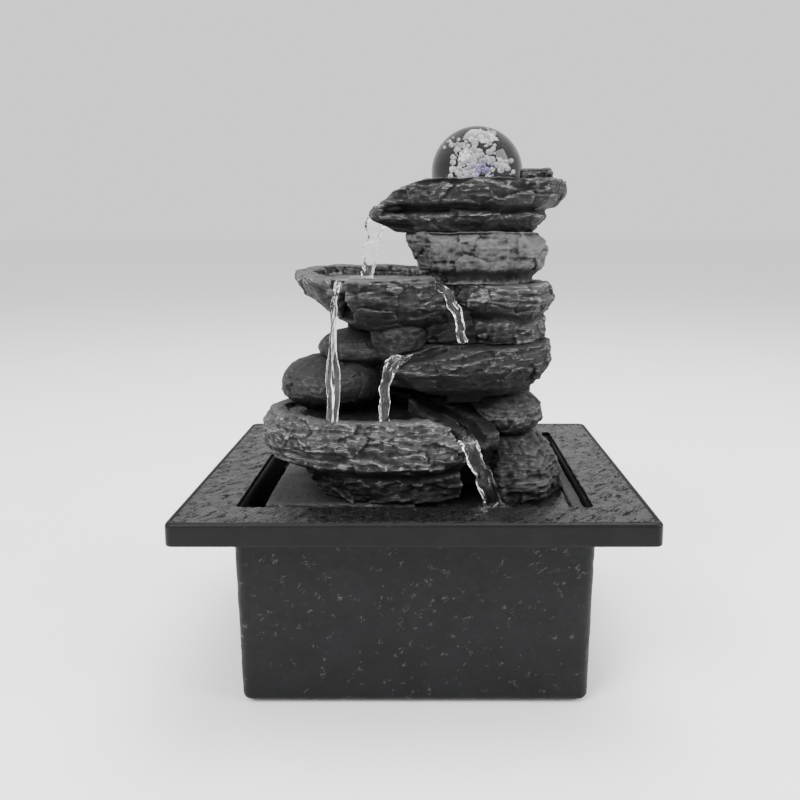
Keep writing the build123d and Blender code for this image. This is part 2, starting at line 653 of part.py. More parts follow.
def shaft_bush(start):
    end = start + BUSH_LENGTH
    return on_axis(BUSH_RADIUS, start, end) - on_axis(SHAFT_RADIUS, start, end)


def impeller_shaft():
    return on_axis(SHAFT_RADIUS, BUSH_FRONT, BUSH_BACK)


def impeller():
    hub = on_axis(HUB_RADIUS, HUB_START, MAGNET_START)
    half = VANE_THICKNESS / 2
    vane = block((HUB_START, 0, -half), (VOLUTE_BACK - ROTOR_GAP, VANE_RADIUS, half))
    for i in range(VANE_COUNT):
        hub += Pos(0, 0, AXIS_Z) * Rot(360 * i / VANE_COUNT, 0, 0) * vane
    return hub - on_axis(SHAFT_RADIUS + SHAFT_CLEARANCE, HUB_START, MAGNET_START)


def rotor_magnet():
    magnet = on_axis(WELL_RADIUS - ROTOR_GAP, MAGNET_START, MAGNET_END)
    return magnet - on_axis(SHAFT_RADIUS + SHAFT_CLEARANCE, MAGNET_START, MAGNET_END)


def suction_cups():
    made = []
    for x, y in cup_places():
        bell = Pos(x, y, FLOOR_TOP + CUP_HEIGHT / 2) * Cone(CUP_RADIUS, CUP_NECK_RADIUS, CUP_HEIGHT)
        hollow = Pos(x, y, FLOOR_TOP + CUP_HEIGHT / 4) * Cone(CUP_RADIUS - CUP_WALL, CUP_WALL, CUP_HEIGHT / 2)
        stem = cylinder(CUP_STEM_RADIUS, PUMP_BOTTOM, PUMP_BOTTOM + CUP_STEM_LENGTH, x, y)
        made.append((bell - hollow + stem).solid())
    return Compound(made)


def intake_cover():
    """A slotted box that pushes on over the volute, with a slot in its top that clears the outlet."""
    cover = pump_body_block(INTAKE_FRONT, VOLUTE_BACK)
    cover = fillet(cover.edges().filter_by(Axis.X), PUMP_EDGE_RADIUS)
    cover -= pump_body_block(INTAKE_FRONT + INTAKE_WALL, VOLUTE_BACK, INTAKE_WALL)
    reach = RISER_OUTER_RADIUS + NIPPLE_SLOT_CLEARANCE
    cover -= block((-reach, -reach, AXIS_Z), (VOLUTE_BACK, reach, PUMP_TOP))
    rows = int((PUMP_HEIGHT / 2 - INTAKE_WALL - INTAKE_SLOT_WIDTH) / INTAKE_SLOT_PITCH)
    half = (PUMP_HALF_WIDTH - DIAL_PIN_RADIUS) / 2 - 2 * INTAKE_WALL
    wall_end = INTAKE_FRONT + INTAKE_WALL
    # The slots are in one half of the front only, and the dial's half disc turns over them
    y = (DIAL_PIN_RADIUS + PUMP_HALF_WIDTH) / 2
    for i in range(-rows, rows + 1):
        low = AXIS_Z + i * INTAKE_SLOT_PITCH - INTAKE_SLOT_WIDTH / 2
        cover -= block((INTAKE_FRONT, y - half, low), (wall_end, y + half, low + INTAKE_SLOT_WIDTH))
    return cover - on_axis(DIAL_PIN_RADIUS + DIAL_CLEARANCE, INTAKE_FRONT, wall_end)


def filter_sponge():
    start = INTAKE_FRONT + INTAKE_WALL + 2 * DIAL_THICKNESS
    return pump_body_block(start, VOLUTE_FRONT - SPONGE_MARGIN, INTAKE_WALL + SPONGE_MARGIN)


def flow_dial():
    """A half disc that covers the slots on one side, on a pin snapped through the cover's front wall."""
    face_end = INTAKE_FRONT - DIAL_SIDE_GAP
    face = on_axis(PUMP_HALF_WIDTH - PUMP_EDGE_RADIUS, face_end - DIAL_THICKNESS, face_end)
    face -= block(
        (face_end - DIAL_THICKNESS, 0, PUMP_BOTTOM - PUMP_HEIGHT),
        (face_end, PUMP_HALF_WIDTH, PUMP_TOP + PUMP_HEIGHT),
    )
    dial = face + on_axis(DIAL_RADIUS, face_end - DIAL_THICKNESS, face_end)
    grip_low = (face_end - 2 * DIAL_THICKNESS, -DIAL_RADIUS, AXIS_Z - DIAL_GRIP_HALF)
    grip_high = (face_end - DIAL_THICKNESS, DIAL_RADIUS, AXIS_Z + DIAL_GRIP_HALF)
    dial += block(grip_low, grip_high)
    inside = INTAKE_FRONT + INTAKE_WALL + DIAL_SIDE_GAP
    dial += on_axis(DIAL_PIN_RADIUS, face_end, inside)
    return dial + on_axis(DIAL_SNAP_RADIUS, inside, inside + DIAL_SNAP_LENGTH)


def pump_parts():
    made = {
        "pump_housing": pump_housing(),
        "stator_core": stator_core(),
        "stator_coils": stator_coils(),
        "back_cap": back_cap(),
        "pump_gland": pump_gland(),
        "volute": volute(),
        "seal_ring": seal_ring(),
        "front_bush": shaft_bush(BUSH_FRONT),
        "back_bush": shaft_bush(WELL_END),
        "impeller_shaft": impeller_shaft(),
        "impeller": impeller(),
        "rotor_magnet": rotor_magnet(),
        "suction_cups": suction_cups(),
        "intake_cover": intake_cover(),
        "filter_sponge": filter_sponge(),
        "flow_dial": flow_dial(),
    }
    return {name: in_tub(shape) for name, shape in made.items()}


def main():
    parts = {
        "basin_tub": basin_tub(),
        "rim_frame": rim_frame(),
        "rim_screws": rim_screws(),
        "rubber_feet": rubber_feet(),
        "cable_grommet": cable_grommet(),
        "crystal_ball": crystal_ball(),
        "light_housing": light_housing(),
        "light_board": light_board(),
        "leds": leds(),
        "light_lens": light_lens(),
        "riser_tube": riser_tube(),
        "jet_nozzle": jet_nozzle(),
    }
    parts.update(pump_parts())
    parts.update(stones())
    os.makedirs("parts", exist_ok=True)
    for name, shape in parts.items():
        export_step(shape, f"parts/{name}.step")


main()
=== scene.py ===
import itertools
import math

import bmesh
import bpy
import numpy as np
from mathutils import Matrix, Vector


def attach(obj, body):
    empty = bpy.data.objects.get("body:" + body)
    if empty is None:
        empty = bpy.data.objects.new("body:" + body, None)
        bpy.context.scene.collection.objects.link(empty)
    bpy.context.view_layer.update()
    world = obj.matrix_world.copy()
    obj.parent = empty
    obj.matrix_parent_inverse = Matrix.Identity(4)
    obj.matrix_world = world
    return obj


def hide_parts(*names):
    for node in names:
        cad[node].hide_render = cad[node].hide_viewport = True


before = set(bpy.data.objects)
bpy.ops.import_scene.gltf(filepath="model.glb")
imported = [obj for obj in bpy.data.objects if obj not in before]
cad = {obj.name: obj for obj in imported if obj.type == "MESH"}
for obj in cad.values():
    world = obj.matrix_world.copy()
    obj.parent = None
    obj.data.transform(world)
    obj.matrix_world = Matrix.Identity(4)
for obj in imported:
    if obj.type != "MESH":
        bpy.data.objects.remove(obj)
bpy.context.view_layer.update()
MM = 0.001

# --- Tub ---------------------------------------------------------------------------------------------------
# A thin-walled moulded tub, dark grey plastic with a fine slate grain in the mould. It narrows downwards,
# has a screw flange under the deck and four corner posts inside that carry the stone tray. Its skin is drawn
# in by GRAIN_CLEARANCE, so that the grain hardly stands out past the tub's true size.

TUB_TOP, FLANGE_TOP, FLANGE_UNDER, TUB_UNDER, TUB_FLOOR = 72.0, 69.0, 67.5, 1.5, 3.5
TUB_OPENING, TUB_WALL, TUB_CORNER, TUB_FOOT_ROUND = (125.0, 98.0), 1.5, 4.0, 1.4
TUB_DRAFT = math.tan(math.radians(1.2))
FLANGE_SIZE = (144.0, 117.0)
POST_SIZE, POST_TOP, POST_INSET, POST_EDGE = 12.0, 60.0, 0.45, 0.4
TUB_GRAIN, GRAIN_CLEARANCE = 0.09, 0.05
LEAD_HOLE_X, LEAD_HOLE_Z, LEAD_HOLE_RADIUS = 40.0, 52.0, 4.0


def hashed(cell, seed):
    """A repeatable number from -1 to 1 for each whole-number cell."""
    x, y, z = (cell[:, i].astype(np.int64) for i in range(3))
    h = (x * 374761393 + y * 668265263 + z * 2147483647 + seed * 1442695041) & 0xFFFFFFFF
    h = ((h ^ (h >> 13)) * 1274126177) & 0xFFFFFFFF
    return ((h ^ (h >> 16)) & 0xFFFF) / 32767.5 - 1.0


def noise(points, size, seed=0):
    """Smooth noise from about -1 to 1, with features of the given size (one size, or one for each axis)."""
    p = points / np.array(size, float)
    base = np.floor(p)
    f = p - base
    f = f * f * f * (f * (f * 6 - 15) + 10)
    total = 0.0
    for corner in range(8):
        step = np.array([corner & 1, corner >> 1 & 1, corner >> 2], float)
        weight = np.prod(np.where(step > 0, f, 1 - f), axis=1)
        total = total + weight * hashed(base + step, seed)
    return total * 1.3


def slate(points, along, across, seed, turn):
    """Riven slate: long low swells and steps that run at an angle across the face, from about -1 to 1."""
    c, s = math.cos(math.radians(turn)), math.sin(math.radians(turn))
    turned = points @ np.array([[c, -s, 0], [s, c, 0], [0, 0, 1.0]])
    sway = np.stack([noise(points, 11, seed + 5), noise(points, 11, seed + 6), 0 * points[:, 0]], 1)
    turned = turned + 2.2 * sway
    cleft = noise(turned, (along, across, along), seed)
    cleft = cleft + 0.35 * noise(turned, (along / 3, across / 2, 6), seed + 1)
    return 0.7 * np.tanh(cleft * 3) + 0.3 * noise(points, 1.6, seed + 3)


def rounded_rectangle(width, depth, radius, spacing=1.0, turn_points=6):
    """Points round a rectangle with rounded corners, the same number whatever its size for one spacing."""
    half = np.array([width / 2 - radius, depth / 2 - radius])
    counts = [int(side / spacing) for side in TUB_OPENING]
    corners = [np.array(corner) * half for corner in ((1, 1), (-1, 1), (-1, -1), (1, -1))]

    def on_corner(corner, quarters):
        a = math.radians(90 * quarters)
        return corner + radius * np.array([math.cos(a), math.sin(a)])

    points = []
    for k, corner in enumerate(corners):
        points += [on_corner(corner, k + i / turn_points) for i in range(turn_points)]
        start, end = on_corner(corner, k + 1), on_corner(corners[(k + 1) % 4], k + 1)
        count = counts[k % 2]
        points += [start + (end - start) * i / count for i in range(count)]
    return np.array(points)


def loft(rings, close=False):
    """Vertices and faces through closed rings of equal length. close joins the last ring to the first."""
    count = len(rings[0])
    vertices = np.concatenate(rings)
    bands = len(rings) if close else len(rings) - 1
    low = np.arange(count)
    nxt = (low + 1) % count
    faces = []
    for b in range(bands):
        a, c = b * count, (b + 1) % len(rings) * count
        faces += np.stack([a + low, a + nxt, c + nxt, c + low], 1).tolist()
    return vertices, faces


def in_scene(name, data):
    """A new object that shows a mesh, a light or a camera."""
    made = bpy.data.objects.new(name, data)
    bpy.context.scene.collection.objects.link(made)
    return made


def new_piece(name, vertices, faces, body, material=None):
    """A mesh in millimetres as a piece that rides a body."""
    mesh = bpy.data.meshes.new(name)
    mesh.from_pydata((np.asarray(vertices) * MM).tolist(), [], faces)
    mesh.validate()
    mesh.shade_smooth()
    if material:
        mesh.materials.append(material)
    piece = in_scene(name, mesh)
    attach(piece, body)
    return piece


def tidy_normals(piece, fill=False):
    """Welds doubled points, closes open ends if asked to, and turns every face outwards."""
    work = bmesh.new()
    work.from_mesh(piece.data)
    bmesh.ops.remove_doubles(work, verts=work.verts, dist=1e-6)
    if fill:
        bmesh.ops.holes_fill(work, edges=work.edges)
    bmesh.ops.recalc_face_normals(work, faces=work.faces)
    work.to_mesh(piece.data)
    work.free()


def worked_out(thing):
    """The mesh that an object's modifiers give."""
    return bpy.data.meshes.new_from_object(thing.evaluated_get(bpy.context.evaluated_depsgraph_get()))


def points_of(mesh):
    """A mesh's vertices in millimetres."""
    flat = np.zeros(len(mesh.vertices) * 3, np.float32)
    mesh.vertices.foreach_get("co", flat)
    return flat.reshape(-1, 3).astype(float) / MM


def normals_of(mesh):
    """The outward direction at each vertex of a mesh."""
    flat = np.zeros(len(mesh.vertices) * 3, np.float32)
    mesh.vertex_normals.foreach_get("vector", flat)
    return flat.reshape(-1, 3).astype(float)


def move_points(mesh, points):
    """Puts a mesh's vertices at places in millimetres."""
    mesh.vertices.foreach_set("co", (points * MM).astype(np.float32).ravel())
    mesh.update()


class Finish:
    """A material with a principled shader, and short ways to add the nodes that feed it."""

    def __init__(self, name, **values):
        self.material = bpy.data.materials.new(name)
        self.material.use_nodes = True
        self.tree = self.material.node_tree
        self.shader = self.tree.nodes["Principled BSDF"]
        self.place = self.add("ShaderNodeTexCoord").outputs["Object"]
        for key, value in values.items():
            self.shader.inputs[key.replace("_", " ")].default_value = value

    def add(self, kind, inputs=None, **settings):
        """A node with its settings and its inputs, each a value or another node's output."""
        node = self.tree.nodes.new(kind)
        for key, value in settings.items():
            setattr(node, key, value)
        for key, value in (inputs or {}).items():
            self.feed(node.inputs[key], value)
        return node

    def feed(self, socket, value):
        if isinstance(value, bpy.types.NodeSocket):
            self.tree.links.new(value, socket)
        else:
            socket.default_value = value

    def speckle(self, size, detail=3.0, rough=0.55, stretch=(1, 1, 1)):
        """Noise with features of the given size in millimetres."""
        scale = self.add("ShaderNodeMapping", {"Vector": self.place, "Scale": stretch})
        inputs = {"Vector": scale.outputs[0], "Scale": 1 / (size * MM), "Detail": detail, "Roughness": rough}
        return self.add("ShaderNodeTexNoise", inputs).outputs["Fac"]

    def ramp(self, fac, stops):
        """A colour ramp. A stop is (place, grey or colour)."""
        node = self.add("ShaderNodeValToRGB", {"Fac": fac})
        ramp = node.color_ramp
        while len(ramp.elements) < len(stops):
            ramp.elements.new(0.5)
        for element, (place, colour) in zip(ramp.elements, stops):
            colour = colour if isinstance(colour, tuple) else (colour, colour, colour)
            element.position = place
            element.color = (*colour, 1)
        return node.outputs["Color"]

    def mix(self, fac, a, b, mode="MIX"):
        """Colour a blended with colour b."""
        node = self.add("ShaderNodeMix", data_type="RGBA", blend_type=mode)
        for socket, value in zip((node.inputs[0], node.inputs[6], node.inputs[7]), (fac, a, b)):
            value = (*value, 1) if isinstance(value, tuple) and len(value) == 3 else value
            self.feed(socket, value)
        return node.outputs[2]

    def math(self, what, a, b=0.0):
        return self.add("ShaderNodeMath", {0: a, 1: b}, operation=what).outputs[0]

    def upward(self):
        """How far the surface faces up, from -1 to 1."""
        normal = self.add("ShaderNodeNewGeometry").outputs["Normal"]
        return self.add("ShaderNodeSeparateXYZ", {"Vector": normal}).outputs[2]

    def swung(self, value, share):
        """A share of how far a noise is from its middle."""
        return self.math("MULTIPLY", self.math("SUBTRACT", value, 0.5), share)

    def bump(self, height, depth, strength=1.0):
        """Bump of the given depth in millimetres."""
        inputs = {"Height": height, "Distance": depth * MM, "Strength": strength}
        normal = self.add("ShaderNodeBump", inputs).outputs[0]
        self.feed(self.shader.inputs["Normal"], normal)

    def colour(self, value):
        self.feed(self.shader.inputs["Base Color"], value)

    def rough(self, value):
        self.feed(self.shader.inputs["Roughness"], value)


def moulded_slate(name, dark, light, gloss, face, depth, crack_share, fleck_share, specular):
    """Dark moulded plastic with a riven grain. Cracks and pale rubbed flecks run at an angle across the top
    or the sides, whichever face says. depth is the grain's, gloss is low on a shiny face, and the two shares
    say how much of the face is cracked and flecked."""
    made = Finish(name, IOR=1.5, Specular_IOR_Level=specular)
    x, y, z = made.add("ShaderNodeSeparateXYZ", {"Vector": made.place}).outputs
    plan = (x, y) if face == "top" else (made.math("ADD", x, y), z)
    flat = made.add("ShaderNodeCombineXYZ", {"X": plan[0], "Y": plan[1]}).outputs[0]

    def lines(turn, along, across, shift, width):
        """Thin lines at an angle, with swells along and across them in millimetres."""
        turned = made.add("ShaderNodeMapping", {"Vector": flat, "Rotation": (0, 0, math.radians(-turn))})
        scale = (1 / (along * MM), 1 / (across * MM), 1)
        inputs = {"Vector": turned.outputs[0], "Location": (shift, shift, 0), "Scale": scale}
        placed = made.add("ShaderNodeMapping", inputs).outputs[0]
        inputs = {"Vector": placed, "Scale": 1.0, "Detail": 2.5, "Roughness": 0.55, "Distortion": 0.5}
        value = made.add("ShaderNodeTexNoise", inputs).outputs["Fac"]
        away = made.math("ABSOLUTE", made.math("SUBTRACT", value, 0.5))
        return made.ramp(away, [(0.0, 1.0), (width, 0.0)])

    cracked = made.ramp(made.speckle(5, 2), [(0.56 - crack_share, 0.0), (0.62 - crack_share, 1.0)])
    cracks = made.math("MAXIMUM", lines(50, 14, 2.5, 3.1, 0.022), lines(38, 10, 2.1, 8.7, 0.018))
    cracks = made.math("MULTIPLY", cracks, cracked)
    rubbed = made.ramp(made.speckle(3.5, 2), [(0.62 - fleck_share, 0.0), (0.7 - fleck_share, 1.0)])
    flecks = made.math("MULTIPLY", lines(42, 4, 1.5, 5.3, 0.03), rubbed)
    base = made.ramp(made.speckle(9, 4), [(0.3, dark), (0.7, light)])
    base = made.mix(cracks, base, tuple(d * 0.15 for d in dark))
    made.colour(made.mix(flecks, base, (0.07, 0.07, 0.069)))
    made.rough(made.ramp(made.speckle(2.2, 5), [(0.3, gloss - 0.07), (0.7, gloss + 0.09)]))
    if face == "top":
        made.feed(made.shader.inputs["Specular IOR Level"], made.ramp(cracks, [(0.1, specular), (0.6, 0.02)]))
    swell = made.math("MULTIPLY", made.speckle(1.1, 4, 0.6), 0.45)
    height = made.math("SUBTRACT", swell, cracks)
    made.bump(made.math("ADD", height, made.math("MULTIPLY", flecks, 0.4)), depth)
    return made.material


tub_plastic = moulded_slate("tub_plastic", (0.0042, 0.0044, 0.005), (0.0068, 0.0071, 0.008), gloss=0.5,
                            face="side", depth=0.12, crack_share=-0.2, fleck_share=0.03, specular=0.17)


def tub_rings():
    """Rings of the tub's section, from the middle of its underside, out, up, over and in to its floor."""
    rise, spacing = ((0.9, 1.0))
    outer_size = (TUB_OPENING[0] + 2 * TUB_WALL, TUB_OPENING[1] + 2 * TUB_WALL)

    def ring(width, depth, corner, z):
        flat = rounded_rectangle(width, depth, corner, spacing)
        return np.column_stack([flat, np.full(len(flat), z)])

    def drafted(size, corner, z, inset):
        shrink = 2 * ((TUB_TOP - z) * TUB_DRAFT + inset)
        return ring(size[0] - shrink, size[1] - shrink, corner, z)

    def outside(z, inset=0.0):
        return drafted(outer_size, max(TUB_CORNER - inset, 0.5), z, inset)

    def inside(z, inset=0.0):
        return drafted(TUB_OPENING, TUB_CORNER - TUB_WALL, z, inset)

    rings = [outside(TUB_UNDER, inset) for inset in (48.0, 30.0, 12.0, 3.0)]
    for degrees in (0.0, 22.5, 45.0, 67.5, 90.0):
        a = math.radians(degrees)
        rise_in_round = TUB_FOOT_ROUND * (1 - math.cos(a))
        rings.append(outside(TUB_UNDER + rise_in_round, TUB_FOOT_ROUND * (1 - math.sin(a))))
    rings += [outside(z) for z in np.arange(TUB_UNDER + TUB_FOOT_ROUND + 0.8, FLANGE_UNDER, rise)]
    rings.append(outside(FLANGE_UNDER))
    rings += [ring(*FLANGE_SIZE, TUB_CORNER, z) for z in (FLANGE_UNDER, FLANGE_TOP)]
    rings += [outside(FLANGE_TOP), outside(TUB_TOP), inside(TUB_TOP)]
    rings += [inside(z) for z in np.arange(TUB_TOP - 4, TUB_FLOOR + 1, -6.0)]
    rings += [inside(TUB_FLOOR, inset) for inset in (0.0, 3.0, 20.0, 48.0)]
    return rings


def with_ends(vertices, faces, ring_size):
    """A loft's vertices and faces, with its first and last rings closed."""
    first, last = list(range(ring_size)), list(range(len(vertices) - ring_size, len(vertices)))
    return vertices, faces + [first[::-1], last]


section = tub_rings()
tub = new_piece("slate_tub", *with_ends(*loft(section), len(section[0])), "base", tub_plastic)
tidy_normals(tub)
tub_points, tub_out = points_of(tub.data), normals_of(tub.data)
outer_wall = (np.abs(tub_out[:, 2]) < 0.7) & (tub_points[:, 2] < FLANGE_UNDER - 0.5)
outer_wall &= np.einsum("ij,ij->i", tub_out[:, :2], tub_points[:, :2]) > 0
upright = tub_points[:, [0, 2, 1]] + tub_points[:, [1, 1, 1]] * np.array([1.0, 0, 0])
grain = slate(upright, 9.0, 3.2, 21, 35)
move_points(tub.data, tub_points + tub_out * (grain * TUB_GRAIN * outer_wall - GRAIN_CLEARANCE)[:, None])

post_points, post_faces = [], []
for side_x in (-1, 1):
    for side_y in (-1, 1):
        outer = np.array(TUB_OPENING) / 2 - POST_INSET
        inner = outer - POST_SIZE
        x = sorted((side_x * inner[0], side_x * outer[0]))
        y = sorted((side_y * inner[1], side_y * outer[1]))
        sides = [[0, 1, 3, 2], [4, 6, 7, 5], [0, 4, 5, 1], [2, 3, 7, 6], [0, 2, 6, 4], [1, 5, 7, 3]]
        post_faces += [[i + len(post_points) for i in side] for side in sides]
        post_points += [(a, b, c) for a in x for b in y for c in (TUB_FLOOR, POST_TOP)]
post_points = np.array(post_points)
lean = TUB_DRAFT * (POST_TOP - post_points[:, 2:])
post_points[:, :2] -= np.sign(post_points[:, :2]) * lean
posts = new_piece("tray_posts", post_points, post_faces, "base", tub_plastic)
post_edges = posts.modifiers.new("edges", "BEVEL")
post_edges.width = POST_EDGE * MM
post_edges.segments = 2
post_edges.limit_method = "ANGLE"

hole_turn = np.linspace(0, 2 * math.pi, 48, endpoint=False)
hole_x = LEAD_HOLE_X + LEAD_HOLE_RADIUS * np.cos(hole_turn)
hole_z = LEAD_HOLE_Z + LEAD_HOLE_RADIUS * np.sin(hole_turn)
through_back_wall = [np.stack([hole_x, 0 * hole_turn + y, hole_z], 1) for y in (40.0, 60.0)]
cutter = new_piece("cutter", *loft(through_back_wall), "base")
tidy_normals(cutter, fill=True)
cut = tub.modifiers.new("lead_hole", "BOOLEAN")
cut.object = cutter
pierced = worked_out(tub)
tub.modifiers.clear()
tub.data = pierced
bpy.data.objects.remove(cutter)
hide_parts("basin_tub")
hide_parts("basin_tub")

# --- Deck ---------------------------------------------------------------------------------------------------
# A flat frame moulded in the same plastic, screwed on round the tub's mouth. Its top is riven slate, with a
# smooth bead round the outer edge, and a plain skirt hangs down from it.

DECK_SIZE, DECK_TOP, DECK_UNDER, DECK_CORNER = (165.0, 130.0), 74.0, 72.0, 2.2
SKIRT_UNDER, SKIRT_WALL = 66.0, 2.0
BEAD_WIDTH, BEAD_ROUND, BEAD_GROOVE = 1.9, 1.3, 0.5
DECK_RELIEF = 0.16

deck_plastic = moulded_slate("deck_plastic", (0.0042, 0.0043, 0.0045), (0.0065, 0.0067, 0.007), gloss=0.27,
                             face="top", depth=0.8, crack_share=0.14, fleck_share=-0.12, specular=0.5)
skirt_plastic = moulded_slate("skirt_plastic", (0.0042, 0.0043, 0.0046), (0.006, 0.0062, 0.0066), gloss=0.4,
                              face="side", depth=0.05, crack_share=-0.3, fleck_share=-0.05, specular=0.14)


def deck_rings():
    """Rings of the deck's section: across the top, over the bead, down the skirt, and back underneath."""
    spacing = 0.55
    board = (np.array(DECK_SIZE) - TUB_OPENING) / 2

    def ring(share, z, inset=0.0):
        """A ring that is a share of the way from the opening, 0, to the outer edge, 1."""
        width, depth = np.array(TUB_OPENING) + 2 * board * share - 2 * inset
        flat = rounded_rectangle(width, depth, DECK_CORNER + 0.6 * share, spacing, 8)
        return np.column_stack([flat, np.full(len(flat), z)])

    rows = int(board[0] / spacing)
    rings = [ring(0, DECK_TOP - 0.5), ring(0, DECK_TOP - 0.15, -0.15)]
    edge_share = 1 - (BEAD_WIDTH + 0.4) / board[0]
    rings += [ring(edge_share * i / rows + 0.02 * (1 - i / rows), DECK_TOP - 0.1) for i in range(rows + 1)]
    rings.append(ring(1, DECK_TOP - BEAD_GROOVE + 0.15, BEAD_WIDTH + 0.1))
    rings.append(ring(1, DECK_TOP - BEAD_GROOVE, BEAD_WIDTH - 0.15))
    rings.append(ring(1, DECK_TOP - BEAD_GROOVE + 0.1, BEAD_WIDTH - 0.4))
    for degrees in range(0, 91, 15):
        a = math.radians(degrees)
        rings.append(ring(1, DECK_TOP - BEAD_ROUND * (1 - math.cos(a)), BEAD_ROUND * (1 - math.sin(a))))
    rings += [ring(1, z) for z in np.linspace(DECK_TOP - 2, SKIRT_UNDER + 0.5, 8)]
    skirt_foot = [(0.15, 0.12), (0.0, 0.5), (0.0, SKIRT_WALL - 0.2), (0.2, SKIRT_WALL)]
    rings += [ring(1, SKIRT_UNDER + rise, inset) for rise, inset in skirt_foot]
    rings += [ring(1, DECK_UNDER, SKIRT_WALL), ring(0.4, DECK_UNDER), ring(0, DECK_UNDER)]
    return rings


def to_deck_edge(x, y):
    """How far places in the plan are from the deck's nearest outer edge."""
    return np.minimum(DECK_SIZE[0] / 2 - np.abs(x), DECK_SIZE[1] / 2 - np.abs(y))


deck = new_piece("slate_deck", *loft(deck_rings(), close=True), "base", deck_plastic)
tidy_normals(deck)
deck_points, deck_out = points_of(deck.data), normals_of(deck.data)
to_edge = to_deck_edge(deck_points[:, 0], deck_points[:, 1])
riven = (deck_out[:, 2] > 0.6) * np.clip((to_edge - BEAD_WIDTH - 0.5) / 0.8, 0, 1)
relief = (slate(deck_points, 12.0, 3.2, 3, 52) - 0.8) * DECK_RELIEF
move_points(deck.data, deck_points + np.outer(relief * riven - 0.02, [0, 0, 1]))
deck.data.materials.append(skirt_plastic)
for face in deck.data.polygons:
    on_bead = to_deck_edge(face.center.x / MM, face.center.y / MM) < BEAD_WIDTH
    face.material_index = int(face.normal.z < 0.6 or on_bead)
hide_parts("rim_frame")

# --- Stones -------------------------------------------------------------------------------------------------
# Each stone is a casting in charcoal resin, carved in thin layers like slate. The raised edges are
# dry-brushed in pale grey. Painted shade darkens the clefts, the grooves, the faces that look down and the
# foot of each stone, and painted top light makes upward faces a little paler. They are bonded into one stack
# on the tray.

BALL_MIDDLE, BALL_SEAT = np.array([24.0, 0.0, 192.0]), 18.6
FINEST_VOXEL, MOST_TRIANGLES = 0.5, 180000
LAYER_SPREAD = (14.0, 14.0, 50.0)


def stone_finish(name, tones, leaf=0.6, gloss=0.68, speckled=0.55):
    """Dry-brushed resin. tones runs from the painted shade in the clefts to the brushed edges. leaf is how
    strongly the thin layers show, speckled how strongly single grains do, and gloss is low on a shiny stone."""
    made = Finish(name, IOR=1.45, Specular_IOR_Level=0.35)
    # relief carries the dry-brushed edges together with painted shade and painted top light.
    relief = made.add("ShaderNodeAttribute", attribute_name="relief").outputs["Fac"]
    level = made.add("ShaderNodeAttribute", attribute_name="bedding").outputs["Fac"]
    level = made.math("ADD", level, made.math("MULTIPLY", made.speckle(2.2, 3), 0.9))
    scale = tuple(1 / (size * MM) for size in LAYER_SPREAD)
    spread = made.add("ShaderNodeMapping", {"Vector": made.place, "Scale": scale}).outputs[0]

    def leaves(thickness, detail):
        """Noise that changes from layer to layer and hardly along one."""
        layer = made.math("MULTIPLY", level, 1 / thickness)
        inputs = {"Vector": spread, "W": layer, "Scale": 1.0, "Detail": detail}
        return made.add("ShaderNodeTexNoise", inputs, noise_dimensions="4D").outputs["Fac"]

    def thin_lines(thickness, width):
        """The edges of the layers, as thin lines."""
        away = made.math("ABSOLUTE", made.math("SUBTRACT", leaves(thickness, 2.0), 0.5))
        return made.ramp(away, [(0.0, 1.0), (width, 0.0)])

    side = made.ramp(made.math("ABSOLUTE", made.upward()), [(0.45, 1.0), (0.8, 0.06)])
    thin = made.mix(side, (0.5, 0.5, 0.5), leaves(1.1, 3.0))
    grit = made.speckle(1.5, 5, 0.68)
    sand = made.speckle(0.45, 3, 0.7)
    cloud = made.speckle(7, 3)
    # The tone starts from relief, so it holds the painted shade and painted top light as well as the brushing.
    tone_with_shade = relief
    for value, share in ((thin, 0.5 * leaf), (grit, 0.75), (sand, speckled), (cloud, 0.42)):
        tone_with_shade = made.math("ADD", tone_with_shade, made.swung(value, share))
    base = made.ramp(tone_with_shade, [(0.16, tones[0]), (0.36, tones[1]), (0.56, tones[2]), (0.84, tones[3])])
    edges = made.math("MAXIMUM", thin_lines(2.3, 0.022), thin_lines(1.2, 0.018))
    raised = made.math("ADD", relief, made.swung(cloud, 0.6))
    edges = made.math("MULTIPLY", edges, made.ramp(tone_with_shade, [(0.44, 0.0), (0.6, 1.0)]))
    edges = made.math("MULTIPLY", edges, made.ramp(raised, [(0.45, 0.12), (0.6, 1.0)]))
    edges = made.math("MULTIPLY", made.math("MULTIPLY", edges, leaf), side)
    made.colour(made.mix(edges, base, (tones[4], tones[4], tones[4])))
    made.rough(made.ramp(cloud, [(0.3, gloss - 0.16), (0.65, gloss)]))
    height = made.math("ADD", made.math("MULTIPLY", thin, 0.5 * leaf), made.math("MULTIPLY", grit, 0.9))
    height = made.math("ADD", height, made.math("MULTIPLY", sand, 0.3))
    made.bump(made.math("ADD", height, made.math("MULTIPLY", edges, 0.12)), 0.95)
    return made.material


stone_pale = stone_finish("dry_brushed_pale", (0.0014, 0.0115, 0.031, 0.07, 0.42))
stone_mid = stone_finish("dry_brushed", (0.0012, 0.0065, 0.019, 0.048, 0.38))
stone_deep = stone_finish("dry_brushed_deep", (0.001, 0.0028, 0.0068, 0.019, 0.22))
stone_gritty = stone_finish("dry_brushed_gritty", (0.001, 0.0055, 0.0155, 0.046, 0.38), 0.25)
stone_facet = stone_finish("dry_brushed_facets", (0.005, 0.04, 0.078, 0.12, 0.36), 0.2)
stone_pebble = stone_finish("dry_brushed_pebbles", (0.0012, 0.005, 0.0125, 0.031, 0.26), 0.16)
stone_tray = stone_finish("dry_brushed_tray", (0.0012, 0.0045, 0.0125, 0.04, 0.3), 0.4, speckled=1.7)
# The darkest copy of the finish, for the channel stone and the two core stones; on the cores, which stand back
# in the stack's shadow, the darkness is painted shade.
stone_dark_and_shaded = stone_finish("dry_brushed_dark", (0.001, 0.003, 0.0065, 0.015, 0.12), 0.5, gloss=0.55)


